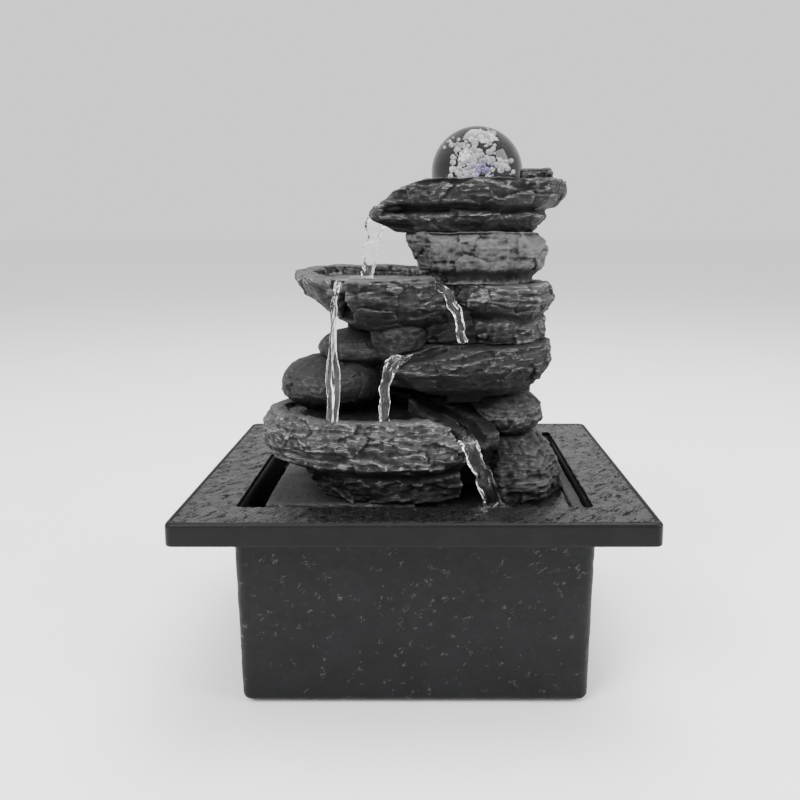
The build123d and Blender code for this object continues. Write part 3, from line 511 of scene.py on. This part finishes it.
def remeshed(node):
    """A copy of a CAD node's mesh with small even faces, as fine as the limit on triangles allows."""
    work = bmesh.new()
    work.from_mesh(cad[node].data)
    bmesh.ops.remove_doubles(work, verts=work.verts, dist=2e-6)
    area = sum(face.calc_area() for face in work.faces) / MM**2
    rough = bpy.data.meshes.new(node + "_rough")
    work.to_mesh(rough)
    work.free()
    holder = in_scene(node + "_rough", rough)
    remesh = holder.modifiers.new("even", "REMESH")
    remesh.mode = "VOXEL"
    voxel = max(FINEST_VOXEL, math.sqrt(2.6 * area / MOST_TRIANGLES))
    remesh.voxel_size = 1.0 * voxel * MM
    even = worked_out(holder)
    bpy.data.objects.remove(holder)
    return even


def edge_pairs(mesh):
    """The two vertices of every edge."""
    flat = np.zeros(len(mesh.edges) * 2, np.int32)
    mesh.edges.foreach_get("vertices", flat)
    return flat.reshape(-1, 2)


def eased(values, pairs, rounds):
    """Values or points, moved most of the way to their neighbours' mean again and again."""
    a, b = pairs[:, 0], pairs[:, 1]
    count = np.bincount(np.concatenate([a, b]), minlength=len(values)).clip(1)
    out = np.array(values, float)
    columns = out.reshape(len(out), -1)
    for _ in range(rounds):
        for k in range(columns.shape[1]):
            total = np.bincount(a, columns[b, k], len(out)) + np.bincount(b, columns[a, k], len(out))
            columns[:, k] += 0.7 * (total / count - columns[:, k])
    return columns.reshape(out.shape)


def layered_noise(points, size, seed):
    """Noise with two finer octaves added."""
    total = sum(noise(points, size / 2**i, seed + i) / 2**i for i in range(3))
    return total / 1.75


def strata(points, level, thickness, seed):
    """Layers with sharp steps between them. Each wanders in and out along its length, from about -1 to 1."""
    t = level / thickness + 0.4 * noise(points, (19, 19, 9), seed + 1)
    index = np.floor(t)
    within = t - index

    def reach(i):
        return noise(np.stack([points[:, 0], points[:, 1], i], 1), (13, 13, 1), seed + 2)

    step = np.clip((within - 0.84) / 0.16, 0, 1)
    step = step * step * (3 - 2 * step)
    cleft = np.exp(-(((within - 0.9) / 0.07) ** 2)) * np.clip(0.5 + noise(points, 9, seed + 3), 0, 1)
    return reach(index) * (1 - step) + reach(index + 1) * step + 0.3 * (within - 0.5) - 0.5 * cleft


def chips(points, size, seed):
    """Flat chipped faces: each cell is a facet with its own depth and slope."""
    p = points / np.array(size, float)
    nearest = np.full(len(p), 9.0)
    depth = np.zeros(len(p))
    for step in itertools.product((-1, 0, 1), repeat=3):
        cell = np.floor(p) + np.array(step)
        jitter = np.stack([hashed(cell, seed + k) for k in range(3)], 1) * 0.5 + 0.5
        away = p - cell - jitter
        distance = np.einsum("ij,ij->i", away, away)
        slope = np.stack([hashed(cell, seed + k) for k in (3, 4, 5)], 1)
        facet = hashed(cell, seed + 6) * 0.5 + 0.9 * np.einsum("ij,ij->i", away, slope)
        closer = distance < nearest
        nearest = np.where(closer, distance, nearest)
        depth = np.where(closer, facet, depth)
    return depth


def brushed_and_shaded(moved, out, pairs):
    """How light each point of a carved stone is painted, from low to high: pale on dry-brushed raised edges,
    with painted shade in the clefts and on faces that look down, and painted top light on faces that look up.
    """
    near = eased(moved, pairs, 7)
    wide = eased(near, pairs, 24)
    fine = np.einsum("ij,ij->i", moved - near, out) / 0.22
    broad = np.einsum("ij,ij->i", near - wide, out) / 0.6
    # Faces that look up get a little painted top light, and the clefts and broad hollows get painted shade.
    relief = 0.49 + 0.12 * fine + 0.12 * broad + 0.1 * out[:, 2]
    relief += 0.16 * (np.minimum(fine, 0) + np.minimum(broad, 0))
    # Faces that look down get painted shade.
    return relief + 0.34 * np.minimum(out[:, 2] + 0.15, 0)


def carve(node, name, material, seed, bed, leaf, facet, crinkle=0.26, tilt=(0.05, 0.0),
          swell=0.9, ease=2, underside=0.2, grooves=()):
    """Turns a plain cast block into a carved stone that stands in for the CAD node. bed, leaf and facet are
    the thick layers, the thin layers and the chips, each as a size and a depth. crinkle is the depth of the
    fine creases, tilt how the layers lean, swell the depth of broad swells, ease how far the block's edges
    are rounded first, and underside how much painted shade darkens the stone towards its foot. A groove is
    (height, slope along x, half width, depth, x where it starts), and painted shade darkens it too."""
    mesh = remeshed(node)
    pairs = edge_pairs(mesh)
    points = eased(points_of(mesh), pairs, ease)
    move_points(mesh, points)
    out = eased(normals_of(mesh), pairs, 3)
    out /= np.linalg.norm(out, axis=1)[:, None] + 1e-9
    clear = np.clip((np.linalg.norm(points - BALL_MIDDLE, axis=1) - BALL_SEAT - 0.5) / 3.0, 0, 1)
    wall = np.clip(1.2 - np.abs(out[:, 2]), 0.12, 1)
    level = points @ np.array([tilt[0], tilt[1], 1.0])
    level = level + 1.6 * noise(points, 21, seed) + 0.5 * noise(points, 7, seed + 1)
    strong = np.clip(0.6 + 0.7 * noise(points, 15, seed + 40), 0.1, 1.1)
    shift = bed[1] * strata(points, level, bed[0], seed + 4) * wall * strong
    shift += leaf[1] * strata(points, level, leaf[0], seed + 9) * wall * np.clip(1.4 - strong, 0.3, 1)
    shift += facet[1] * chips(points, (facet[0], facet[0], facet[0] * 0.6), seed + 18)
    creased = 0.5 - np.abs(noise(points, (3.6, 3.6, 1.5), seed + 27)) * 1.6
    shift += crinkle * (creased + 0.8 * noise(points, 2.1, seed + 28))
    shade = np.zeros(len(points))
    for height, slope, half_width, depth, start in grooves:
        along = points[:, 0] - start
        off = points[:, 2] - height - slope * along + 0.7 * noise(points, 8, seed + 50)
        belt = np.exp(-((off / half_width) ** 2)) * np.clip(along / 5, 0, 1)
        shift -= depth * belt * wall
        # Each groove is also darkened by painted shade along its belt.
        shade += 0.3 * belt
    warp = np.stack([layered_noise(points, 17, 30 + k) for k in range(3)], 1) * np.array([1, 1, 0.7])
    moved = points + (out * np.array([1, 1, 0.4]) * (shift + 0.15)[:, None] + swell * warp) * clear[:, None]
    move_points(mesh, moved)
    low, high = moved[:, 2].min(), moved[:, 2].max()
    # Painted shade darkens each stone towards its foot, fading out 40% of the way up.
    foot = np.clip(1 - (moved[:, 2] - low) / (0.4 * (high - low)), 0, 1)
    relief = np.clip(brushed_and_shaded(moved, normals_of(mesh), pairs) + 0.05 - shade - underside * foot, 0, 1)
    # relief holds the dry-brushing together with the painted shade and painted top light; bedding holds the
    # layer level.
    for attribute, values in (("relief", relief), ("bedding", level)):
        mesh.attributes.new(attribute, "FLOAT", "POINT").data.foreach_set("value", values.astype(np.float32))
    mesh.shade_smooth()
    mesh.materials.clear()
    mesh.materials.append(material)
    mesh.name = name
    piece = in_scene(name, mesh)
    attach(piece, "rockery")
    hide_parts(node)


carve("rock_tray", "carved_tray", stone_tray, 1, (9, 0.0), (3, 0.0), (6, 0.0), 0.14, swell=0.1)
carve("lower_ledge", "carved_lower_ledge", stone_pale, 11, (7.5, 0.9), (2.6, 0.35), (10, 1.0),
      tilt=(0.06, 0.1), grooves=[(80.8, 0.05, 1.6, 1.6, -20)])
carve("lower_boulder", "carved_boulder", stone_gritty, 23, (8, 0.15), (2.6, 0.1), (8, 1.0), 0.46,
      underside=0.1)
carve("channel_stone", "carved_channel", stone_dark_and_shaded, 31, (6, 0.2), (2.3, 0.12), (7, 0.3), 0.12,
      swell=0.5, ease=6)
carve("right_pebble", "carved_right_pebble", stone_gritty, 41, (6, 0.2), (2.3, 0.12), (9, 0.6), 0.36, ease=6)
carve("left_pebble", "carved_left_pebble", stone_pebble, 53, (6, 0.2), (2.3, 0.12), (10, 0.6), 0.24, ease=6)
carve("left_back_pebble", "carved_back_pebble", stone_pebble, 61, (6, 0.2), (2.3, 0.12), (9, 0.5), 0.24,
      ease=6)
carve("mid_ledge", "carved_mid_ledge", stone_deep, 73, (5.0, 0.8), (2.1, 0.35), (9, 0.9), tilt=(-0.16, 0.05))
carve("left_bowl", "carved_left_bowl", stone_pale, 83, (4.6, 0.7), (2.0, 0.35), (9, 0.9), tilt=(0.05, 0.0))
carve("upper_slab", "carved_upper_slab", stone_pale, 97, (4.6, 0.9), (2.0, 0.4), (9, 0.9), tilt=(0.08, 0.0),
      grooves=[(136.5, 0.0, 1.6, 0.8, 8)])
carve("neck_stone", "carved_neck", stone_facet, 103, (9, 0.2), (2.6, 0.1), (13, 0.8), underside=0.08,
      grooves=[(151.8, 0.0, 2.3, 2.6, -8), (170.2, 0.0, 2.2, 3.6, -20)])
carve("crown_bowl", "carved_crown", stone_mid, 113, (5.6, 0.8), (2.1, 0.35), (11, 0.9), tilt=(-0.03, 0.0),
      grooves=[(176.9, 0.0, 1.5, 4.2, -13), (187.0, 0.03, 0.8, 0.8, -6)])
carve("centre_stone", "carved_centre", stone_pebble, 127, (6, 0.2), (2.3, 0.15), (8, 0.4), ease=6)
carve("lower_back_stone", "carved_lower_back", stone_mid, 131, (6, 0.9), (2.4, 0.35), (10, 0.9))
carve("mid_back_stone", "carved_mid_back", stone_mid, 149, (5.5, 0.9), (2.4, 0.35), (10, 0.9), tilt=(0.12, 0))
carve("lower_core", "carved_lower_core", stone_dark_and_shaded, 151, (6, 0.8), (2.4, 0.3), (9, 0.8))
carve("upper_core", "carved_upper_core", stone_dark_and_shaded, 163, (6, 0.9), (2.4, 0.35), (9, 0.8), tilt=(0.1, 0))

# --- Water --------------------------------------------------------------------------------------------------
# Clear water leaves the crown by its spout, falls to the left bowl, spills on to both ledges and runs down
# the dark channel to the tray. Shallow pools lie in the crown, the left bowl, the lower ledge and the tray.

FALL_RINGS, FALL_SIDES = 70, 22
SPLASH_MIDDLE, SPLASH_DROPS = (29.5, -42.2, 69.1), 34

water = Finish("running_water", IOR=1.33, Roughness=0.02, Transmission_Weight=1.0)
water.colour(water.ramp(water.speckle(5, 2), [(0.3, (0.93, 0.95, 0.96)), (0.7, (1.0, 1.0, 1.0))]))
water.bump(water.speckle(1.6, 2, 0.5, (1.6, 1.6, 0.35)), 0.5, 0.5)


def smooth_path(points, count):
    """A curve through points, as count places along it."""
    p = np.array(points, float)
    p = np.vstack([2 * p[0] - p[1], p, 2 * p[-1] - p[-2]])
    places = []
    for t in np.linspace(0, len(points) - 1 - 1e-6, count):
        i, f = int(t), t - int(t)
        a, b, c, d = p[i : i + 4]
        bend, twist = 2 * a - 5 * b + 4 * c - d, 3 * b - a - 3 * c + d
        places.append(0.5 * (2 * b + (c - a) * f + bend * f**2 + twist * f**3))
    return np.array(places)


def fall(name, path, widths, thick, across, seed, turns=0.5):
    """A ribbon of falling water along a path. widths are its widths at even steps along it, thick is its
    depth, across is the direction of its width, and turns is how far it twists."""
    across = np.array(across, float)
    middle = smooth_path(path, FALL_RINGS)
    along = np.gradient(middle, axis=0)
    along /= np.linalg.norm(along, axis=1)[:, None]
    side = across - along * (along @ across)[:, None]
    side /= np.linalg.norm(side, axis=1)[:, None]
    front = np.cross(side, along)
    share = np.linspace(0, 1, FALL_RINGS)
    width = np.interp(share, np.linspace(0, 1, len(widths)), widths) / 2
    past_end = ((np.abs(share - 0.5) - 0.46) / 0.04).clip(0, 1)
    ends = np.minimum(1, np.sqrt(np.maximum(0, 1 - past_end**2)) + 0.02)
    places = np.stack([share * 9, share * 0, share * 0], 1)
    twist = turns * noise(places, 1.6, seed + 7)
    sway = 0.35 * noise(places, 1.0, seed + 8) * (share > 0.1)
    turn = np.linspace(0, 2 * math.pi, FALL_SIDES, endpoint=False)
    rings = []
    for i in range(FALL_RINGS):
        flat = side[i] * math.cos(twist[i]) + front[i] * math.sin(twist[i])
        upright = front[i] * math.cos(twist[i]) - side[i] * math.sin(twist[i])
        around = np.stack([np.cos(turn) * 2, np.sin(turn) * 2, turn * 0 + share[i] * 2.5], 1)
        ripple = 1 + 0.38 * noise(around, (1.1, 1.1, 0.3), seed)
        ripple = ripple + 0.16 * noise(around, (0.6, 0.6, 0.1), seed + 1)
        reach = np.cos(turn) * width[i] * ends[i] * ripple
        deep = np.sin(turn) * thick / 2 * ends[i] * ripple
        rings.append(middle[i] + sway[i] * side[i] + np.outer(reach, flat) + np.outer(deep, upright))
    piece = new_piece(name, *with_ends(*loft(rings), FALL_SIDES), "rockery", water.material)
    tidy_normals(piece)


crown_path = [(-13.2, -5, 178.5), (-15.2, -6.5, 173.5), (-16.8, -8, 166), (-17.8, -9, 159), (-18.2, -9.5, 151)]
bowl_left_path = [(-27.4, -35, 151.8), (-28.0, -38.5, 147), (-28.7, -40.5, 139), (-29.6, -42, 121),
                  (-30.2, -42.6, 99.5)]
bowl_right_path = [(-26.6, -35, 151.8), (-27.2, -38.5, 147), (-27.9, -40.5, 139), (-27.7, -42, 121),
                   (-28.0, -42.6, 99.5)]
side_path = [(4, -26, 152.6), (8, -29.3, 150.5), (12.5, -31, 145), (15.8, -31.5, 137), (17.2, -32, 128.5)]
ledge_path = [(-2, -33, 124.2), (-6.8, -37.4, 123.6), (-9.3, -40.3, 119), (-10.6, -40.8, 111),
              (-11.2, -41, 101.5)]
channel_path = [(13, -33, 99), (18.5, -39.5, 94.8), (21.5, -42.6, 88.5), (25, -43.2, 80), (28.2, -43.2, 68)]
fall("crown_fall", crown_path, [6.0, 7.2, 6.4, 5.2, 5.2], 2.0, (1, -0.3, 0), 5, 0.15)
fall("bowl_fall_left", bowl_left_path, [2.6, 1.6, 1.3, 1.9, 2.6], 1.3, (1, 0, 0), 15, 0.3)
fall("bowl_fall_right", bowl_right_path, [2.4, 1.2, 0.9, 1.7, 2.2], 1.0, (1, 0, 0), 25, 0.3)
fall("side_fall", side_path, [3.5, 4.2, 3.4, 3.0, 3.4], 1.3, (1, -0.2, 0.3), 35)
fall("ledge_fall", ledge_path, [5.0, 4.4, 3.2, 3.0, 3.4], 1.3, (1, 0.1, 0.2), 45)
fall("channel_fall", channel_path, [5.0, 5.6, 5.2, 5.0, 6.2], 1.5, (1, 0, 0.35), 55, 0.2)


def ball_mesh(middle, radius, bands=48):
    """Rings of a sphere, from its lowest point to its highest."""
    turn = np.linspace(0, 2 * math.pi, 2 * bands, endpoint=False)
    rings = []
    for i in range(bands + 1):
        a = math.pi * (i / bands - 0.5)
        r, z = max(radius * math.cos(a), 0.01), radius * math.sin(a)
        x, y = middle[0] + r * np.cos(turn), middle[1] + r * np.sin(turn)
        rings.append(np.stack([x, y, middle[2] + z + turn * 0], 1))
    return loft(rings)


def many_balls(name, places, sizes, flat, body, material):
    """One piece of many small balls, each of its own size and all flattened alike."""
    unit, unit_faces = ball_mesh((0, 0, 0), 1.0, 8)
    vertices = [unit * size * np.array(flat) + place for place, size in zip(places, sizes)]
    faces = [[i + k * len(unit) for i in face] for k in range(len(places)) for face in unit_faces]
    return new_piece(name, np.concatenate(vertices), faces, body, material)


splash_places, splash_sizes = [], []
scatter = np.random.default_rng(3)
for _ in range(SPLASH_DROPS):
    turn, away = scatter.uniform(0, 2 * math.pi), 3.4 * scatter.random() ** 0.6
    hop = scatter.uniform(0.0, 6.5) * math.exp(-away / 3)
    flung = np.array([1.5 * away * math.cos(turn), 0.45 * away * math.sin(turn), hop])
    splash_places.append(SPLASH_MIDDLE + flung)
    splash_sizes.append(scatter.uniform(0.25, 0.75))
splash = many_balls("channel_splash", splash_places, splash_sizes, (1.3, 1.0, 0.8), "rockery", water.material)


def pool(name, outline, height, seed, ripple=0.12, step=0.8):
    """A pool's surface inside an outline, with small ripples."""
    outline = np.array(outline, float)
    low, high = outline.min(0), outline.max(0)
    step = step
    xs, ys = np.arange(low[0], high[0] + step, step), np.arange(low[1], high[1] + step, step)
    grid = np.array([(x, y) for y in ys for x in xs])
    inside = np.zeros(len(grid), bool)
    for (x0, y0), (x1, y1) in zip(outline, np.roll(outline, -1, axis=0)):
        crosses = (grid[:, 1] < y0) != (grid[:, 1] < y1)
        inside ^= crosses & (grid[:, 0] < (x1 - x0) * (grid[:, 1] - y0) / (y1 - y0 + 1e-9) + x0)
    places = np.column_stack([grid, grid[:, 0] * 0])
    z = height + ripple * (noise(places, 5, seed) + 0.5 * noise(places, 2, seed + 1))
    top = np.column_stack([grid, z])
    across = len(xs)
    cells = [r * across + c for r in range(len(ys) - 1) for c in range(across - 1)]
    squares = [[k, k + 1, k + across + 1, k + across] for k in cells]
    faces = [square for square in squares if inside[square].all()]
    used = sorted({i for face in faces for i in face})
    where = {old: new for new, old in enumerate(used)}
    faces = [[where[i] for i in face] for face in faces]
    piece = new_piece(name, top[used], faces, "rockery", water.material)


def shrunk(outline, share, shift):
    """A plan outline scaled about the mean of its corners and shifted."""
    points = np.array(outline, float)
    middle = points.mean(0)
    return middle + (points - middle) * share + np.array(shift)


bowl_rim = [(-47, -10), (-38, -34), (-27, -44), (-12, -40), (4, -34),
            (13, -24), (6, 2), (-4, 16), (-28, 20), (-43, 10)]
ledge_rim = [(-60, -12), (-53, -33), (-36, -45), (-10, -47), (10, -44),
             (22, -37), (20, -16), (8, 8), (-22, 18), (-50, 10)]
pool("bowl_pool", shrunk(bowl_rim, 0.78, (0, 1)), 151.6, 3)
pool("ledge_pool", shrunk(ledge_rim, 0.77, (-1, 1)), 100.4, 13)
pool("tray_pool", [(0.5, -43.5), (57, -43.5), (57, 43.5), (0.5, 43.5)], 68.9, 23, 0.16)
crown_wall, ball_gap = 20.8, 17.7
there, back = np.linspace(0, 2 * math.pi, 41), np.linspace(2 * math.pi, 0, 41)
crown_ring = [(BALL_MIDDLE[0] + crown_wall * math.cos(a), crown_wall * math.sin(a)) for a in there]
crown_ring += [(BALL_MIDDLE[0] + ball_gap * math.cos(a), ball_gap * math.sin(a)) for a in back]
pool("crown_pool", crown_ring, 187.6, 33, 0.12, 0.5)

# --- Ball ---------------------------------------------------------------------------------------------------
# A ball of clear glass, tinted near black as painted shade for the dark surroundings seen through it, with a
# cloud of air bubbles cast in it, a little above its middle. It floats and turns on the jet. The bubbles glow
# with painted light for the lamp below: white, with a painted violet glow in a patch low in the cloud's front.

BALL_RADIUS = 18.0
BUBBLE_COUNT, CLOUD_RADIUS, CLOUD_RISE = 260, 9.8, 2.2
VIOLET_MIDDLE = (26.5, -6.0, 191.0)

glass = Finish("bubble_glass", IOR=1.4, Roughness=0.008, Transmission_Weight=1.0, Specular_IOR_Level=0.25)
# The glass is tinted near black as painted shade, standing in for the dark surroundings seen through the ball.
glass.colour(glass.ramp(glass.speckle(9, 2), [(0.3, (0.012, 0.012, 0.013)), (0.7, (0.022, 0.022, 0.024))]))
ball = new_piece("glass_ball", *ball_mesh(BALL_MIDDLE, BALL_RADIUS), "ball", glass.material)
tidy_normals(ball)
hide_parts("crystal_ball")

# The air bubbles glow as painted light: the emission stands in for the lamp below lighting them.
air = Finish("bubble_painted_glow", IOR=1.4, Roughness=0.1, Emission_Strength=6.5)
# Bubble skin that looks up is painted paler, as painted top light.
painted_top_light_and_cloud = air.math("ADD", air.math("MULTIPLY", air.upward(), 0.22), air.speckle(3.0, 3))
skin = air.ramp(painted_top_light_and_cloud, [(0.2, (0.12, 0.12, 0.12)), (0.5, (0.5, 0.5, 0.5)), (0.8, (0.98, 0.98, 0.96))])
# Near VIOLET_MIDDLE the glow turns violet, as painted light for the lamp's violet patch.
inputs = {0: air.place, 1: tuple(value * MM for value in VIOLET_MIDDLE)}
from_violet = air.add("ShaderNodeVectorMath", inputs, operation="DISTANCE").outputs[1]
painted_violet_glow = air.ramp(air.math("MULTIPLY", from_violet, 100), [(0.25, (0.55, 0.48, 1.0)), (0.7, (1.0, 1.0, 1.0))])
air.colour(skin)
air.feed(air.shader.inputs["Emission Color"], air.mix(1.0, skin, painted_violet_glow, "MULTIPLY"))
random = np.random.default_rng(7)
bubble_places, bubble_sizes = [], []
for _ in range(BUBBLE_COUNT):
    direction = random.normal(size=3)
    direction /= np.linalg.norm(direction)
    five_lobes = 1 + 0.25 * math.sin(5 * math.atan2(direction[0], direction[2]))
    reach = CLOUD_RADIUS * random.random() ** 0.45 * five_lobes
    size = random.uniform(0.3, 1.15) * (1.1 - 0.35 * reach / CLOUD_RADIUS)
    place = BALL_MIDDLE + direction * reach + np.array([0, 0, CLOUD_RISE])
    others = zip(bubble_places, bubble_sizes)
    if any(np.linalg.norm(place - other) < 0.75 * (size + other_size) for other, other_size in others):
        size *= 0.5
    bubble_places.append(place)
    bubble_sizes.append(size)
bubbles = many_balls("ball_bubbles", bubble_places, bubble_sizes, (1, 1, 1), "ball", air.material)

# --- Finishes of the parts inside ---------------------------------------------------------------------------
# The pump, the light and the tube keep their machined shapes and get the finish of the real plastic, rubber
# or metal.


def plain_finish(name, dark, light, rough, grain=0.6, depth=0.03, **values):
    """A finish that wanders between two colours, with a fine grain of the given size and depth."""
    made = Finish(name, **values)
    made.colour(made.ramp(made.speckle(3, 4), [(0.3, dark), (0.7, light)]))
    made.rough(made.ramp(made.speckle(1.5, 3), [(0.3, rough - 0.06), (0.7, rough + 0.06)]))
    made.bump(made.speckle(grain, 3), depth, 0.5)
    return made.material


def dress(material, *names):
    """Gives the machined parts of these names a material."""
    for name in names:
        for slot in cad[name].material_slots:
            slot.material = material


pump_black = plain_finish("pump_black", (0.016, 0.016, 0.017), (0.024, 0.024, 0.026), 0.5)
soft_rubber = plain_finish("soft_rubber", (0.012, 0.012, 0.012), (0.02, 0.02, 0.02), 0.7, grain=1.0)
white_plastic = plain_finish("white_plastic", (0.62, 0.62, 0.61), (0.7, 0.7, 0.69), 0.35)
zinc_steel = plain_finish("zinc_steel", (0.45, 0.45, 0.46), (0.6, 0.6, 0.6), 0.35, Metallic=1.0)
laminated_steel = plain_finish("laminated_steel", (0.12, 0.12, 0.13), (0.22, 0.22, 0.23), 0.45, Metallic=1.0)
copper_winding = plain_finish("copper_winding", (0.55, 0.22, 0.08), (0.72, 0.34, 0.14), 0.35,
                              grain=0.3, depth=0.1, Metallic=1.0)
green_board = plain_finish("green_board", (0.012, 0.1, 0.04), (0.02, 0.15, 0.06), 0.35)
bush_ceramic = plain_finish("bush_ceramic", (0.72, 0.7, 0.66), (0.8, 0.79, 0.75), 0.25)
ferrite = plain_finish("ferrite", (0.03, 0.03, 0.032), (0.05, 0.05, 0.052), 0.55)
open_foam = plain_finish("open_foam", (0.015, 0.015, 0.015), (0.045, 0.045, 0.045), 0.9, grain=0.8, depth=0.5)
milky_silicone = plain_finish("milky_silicone", (0.6, 0.61, 0.6), (0.7, 0.71, 0.7), 0.4)
dress(pump_black, "pump_housing", "back_cap", "volute", "intake_cover")
dress(soft_rubber, "rubber_feet", "cable_grommet", "pump_gland", "seal_ring", "suction_cups")
dress(white_plastic, "light_housing", "jet_nozzle", "impeller", "flow_dial")
dress(zinc_steel, "rim_screws")
dress(laminated_steel, "stator_core")
dress(copper_winding, "stator_coils")
dress(green_board, "light_board")
dress(bush_ceramic, "front_bush", "back_bush", "impeller_shaft")
dress(ferrite, "rotor_magnet")
dress(open_foam, "filter_sponge")
dress(milky_silicone, "riser_tube")
lamp = Finish("lit_diode", Emission_Color=(0.75, 0.7, 1.0, 1), Emission_Strength=3.0)
lamp.colour(lamp.ramp(lamp.speckle(1, 2), [(0.3, (0.8, 0.78, 0.9)), (0.7, (0.9, 0.9, 1.0))]))
dress(lamp.material, "leds")
window = Finish("frosted_window", Roughness=0.4, Emission_Color=(0.7, 0.65, 1.0, 1), Emission_Strength=0.8)
window.colour(window.ramp(window.speckle(1, 2), [(0.3, (0.8, 0.8, 0.85)), (0.7, (0.9, 0.9, 0.95))]))
dress(window.material, "light_lens")

# --- Floor, light and camera --------------------------------------------------------------------------------
# A pale floor in a white room, with big soft lights high at the front left, at the right and overhead. The
# camera stands in front, level with the neck stone, and looks down a little.

FLOOR_HALF = 12.0
STACK_MIDDLE = (0.0, 0.0, 0.11)
ROOM_BRIGHTNESS = 1.15
CAMERA_PLACE, CAMERA_DOWN = (0.0042, -0.3019, 0.1700), 6.77
CAMERA_LENS, CAMERA_SENSOR, CAMERA_SHIFT = 33.9, 36.0, (-0.0334, -0.1021)

floor_finish = Finish("pale_floor", Roughness=0.8)
floor_finish.colour(floor_finish.ramp(floor_finish.speckle(60, 2), [(0.3, 0.93), (0.7, 0.95)]))
floor_mesh = bpy.data.meshes.new("floor")
floor_corners = [(x * FLOOR_HALF, y * FLOOR_HALF, 0) for x, y in ((-1, -1), (1, -1), (1, 1), (-1, 1))]
floor_mesh.from_pydata(floor_corners, [], [[0, 1, 2, 3]])
floor_mesh.materials.append(floor_finish.material)
floor = in_scene("floor", floor_mesh)


def soft_light(name, place, size, watts):
    """A rectangular light that faces the middle of the stack."""
    light = bpy.data.lights.new(name, "AREA")
    light.shape = "RECTANGLE"
    light.size, light.size_y = size
    light.energy = watts
    softbox = in_scene(name, light)
    softbox.location = place
    softbox.rotation_euler = (Vector(STACK_MIDDLE) - Vector(place)).to_track_quat("-Z", "Y").to_euler()


soft_light("left_softbox", (-0.55, -0.65, 0.85), (0.5, 0.5), 14)
soft_light("right_softbox", (0.8, -0.3, 0.6), (0.5, 0.6), 7)
soft_light("top_softbox", (0.1, 0.15, 1.0), (0.7, 0.6), 14)

world = bpy.data.worlds.new("white_room")
world.use_nodes = True
world.node_tree.nodes["Background"].inputs["Color"].default_value = (1, 1, 1, 1)
world.node_tree.nodes["Background"].inputs["Strength"].default_value = ROOM_BRIGHTNESS
bpy.context.scene.world = world

camera = bpy.data.cameras.new("camera")
camera.sensor_width = CAMERA_SENSOR
camera.lens = CAMERA_LENS
camera.shift_x, camera.shift_y = CAMERA_SHIFT
camera.clip_start = 0.01
viewer = in_scene("camera", camera)
viewer.location = CAMERA_PLACE
viewer.rotation_euler = (math.radians(90 - CAMERA_DOWN), 0, 0)
bpy.context.scene.camera = viewer
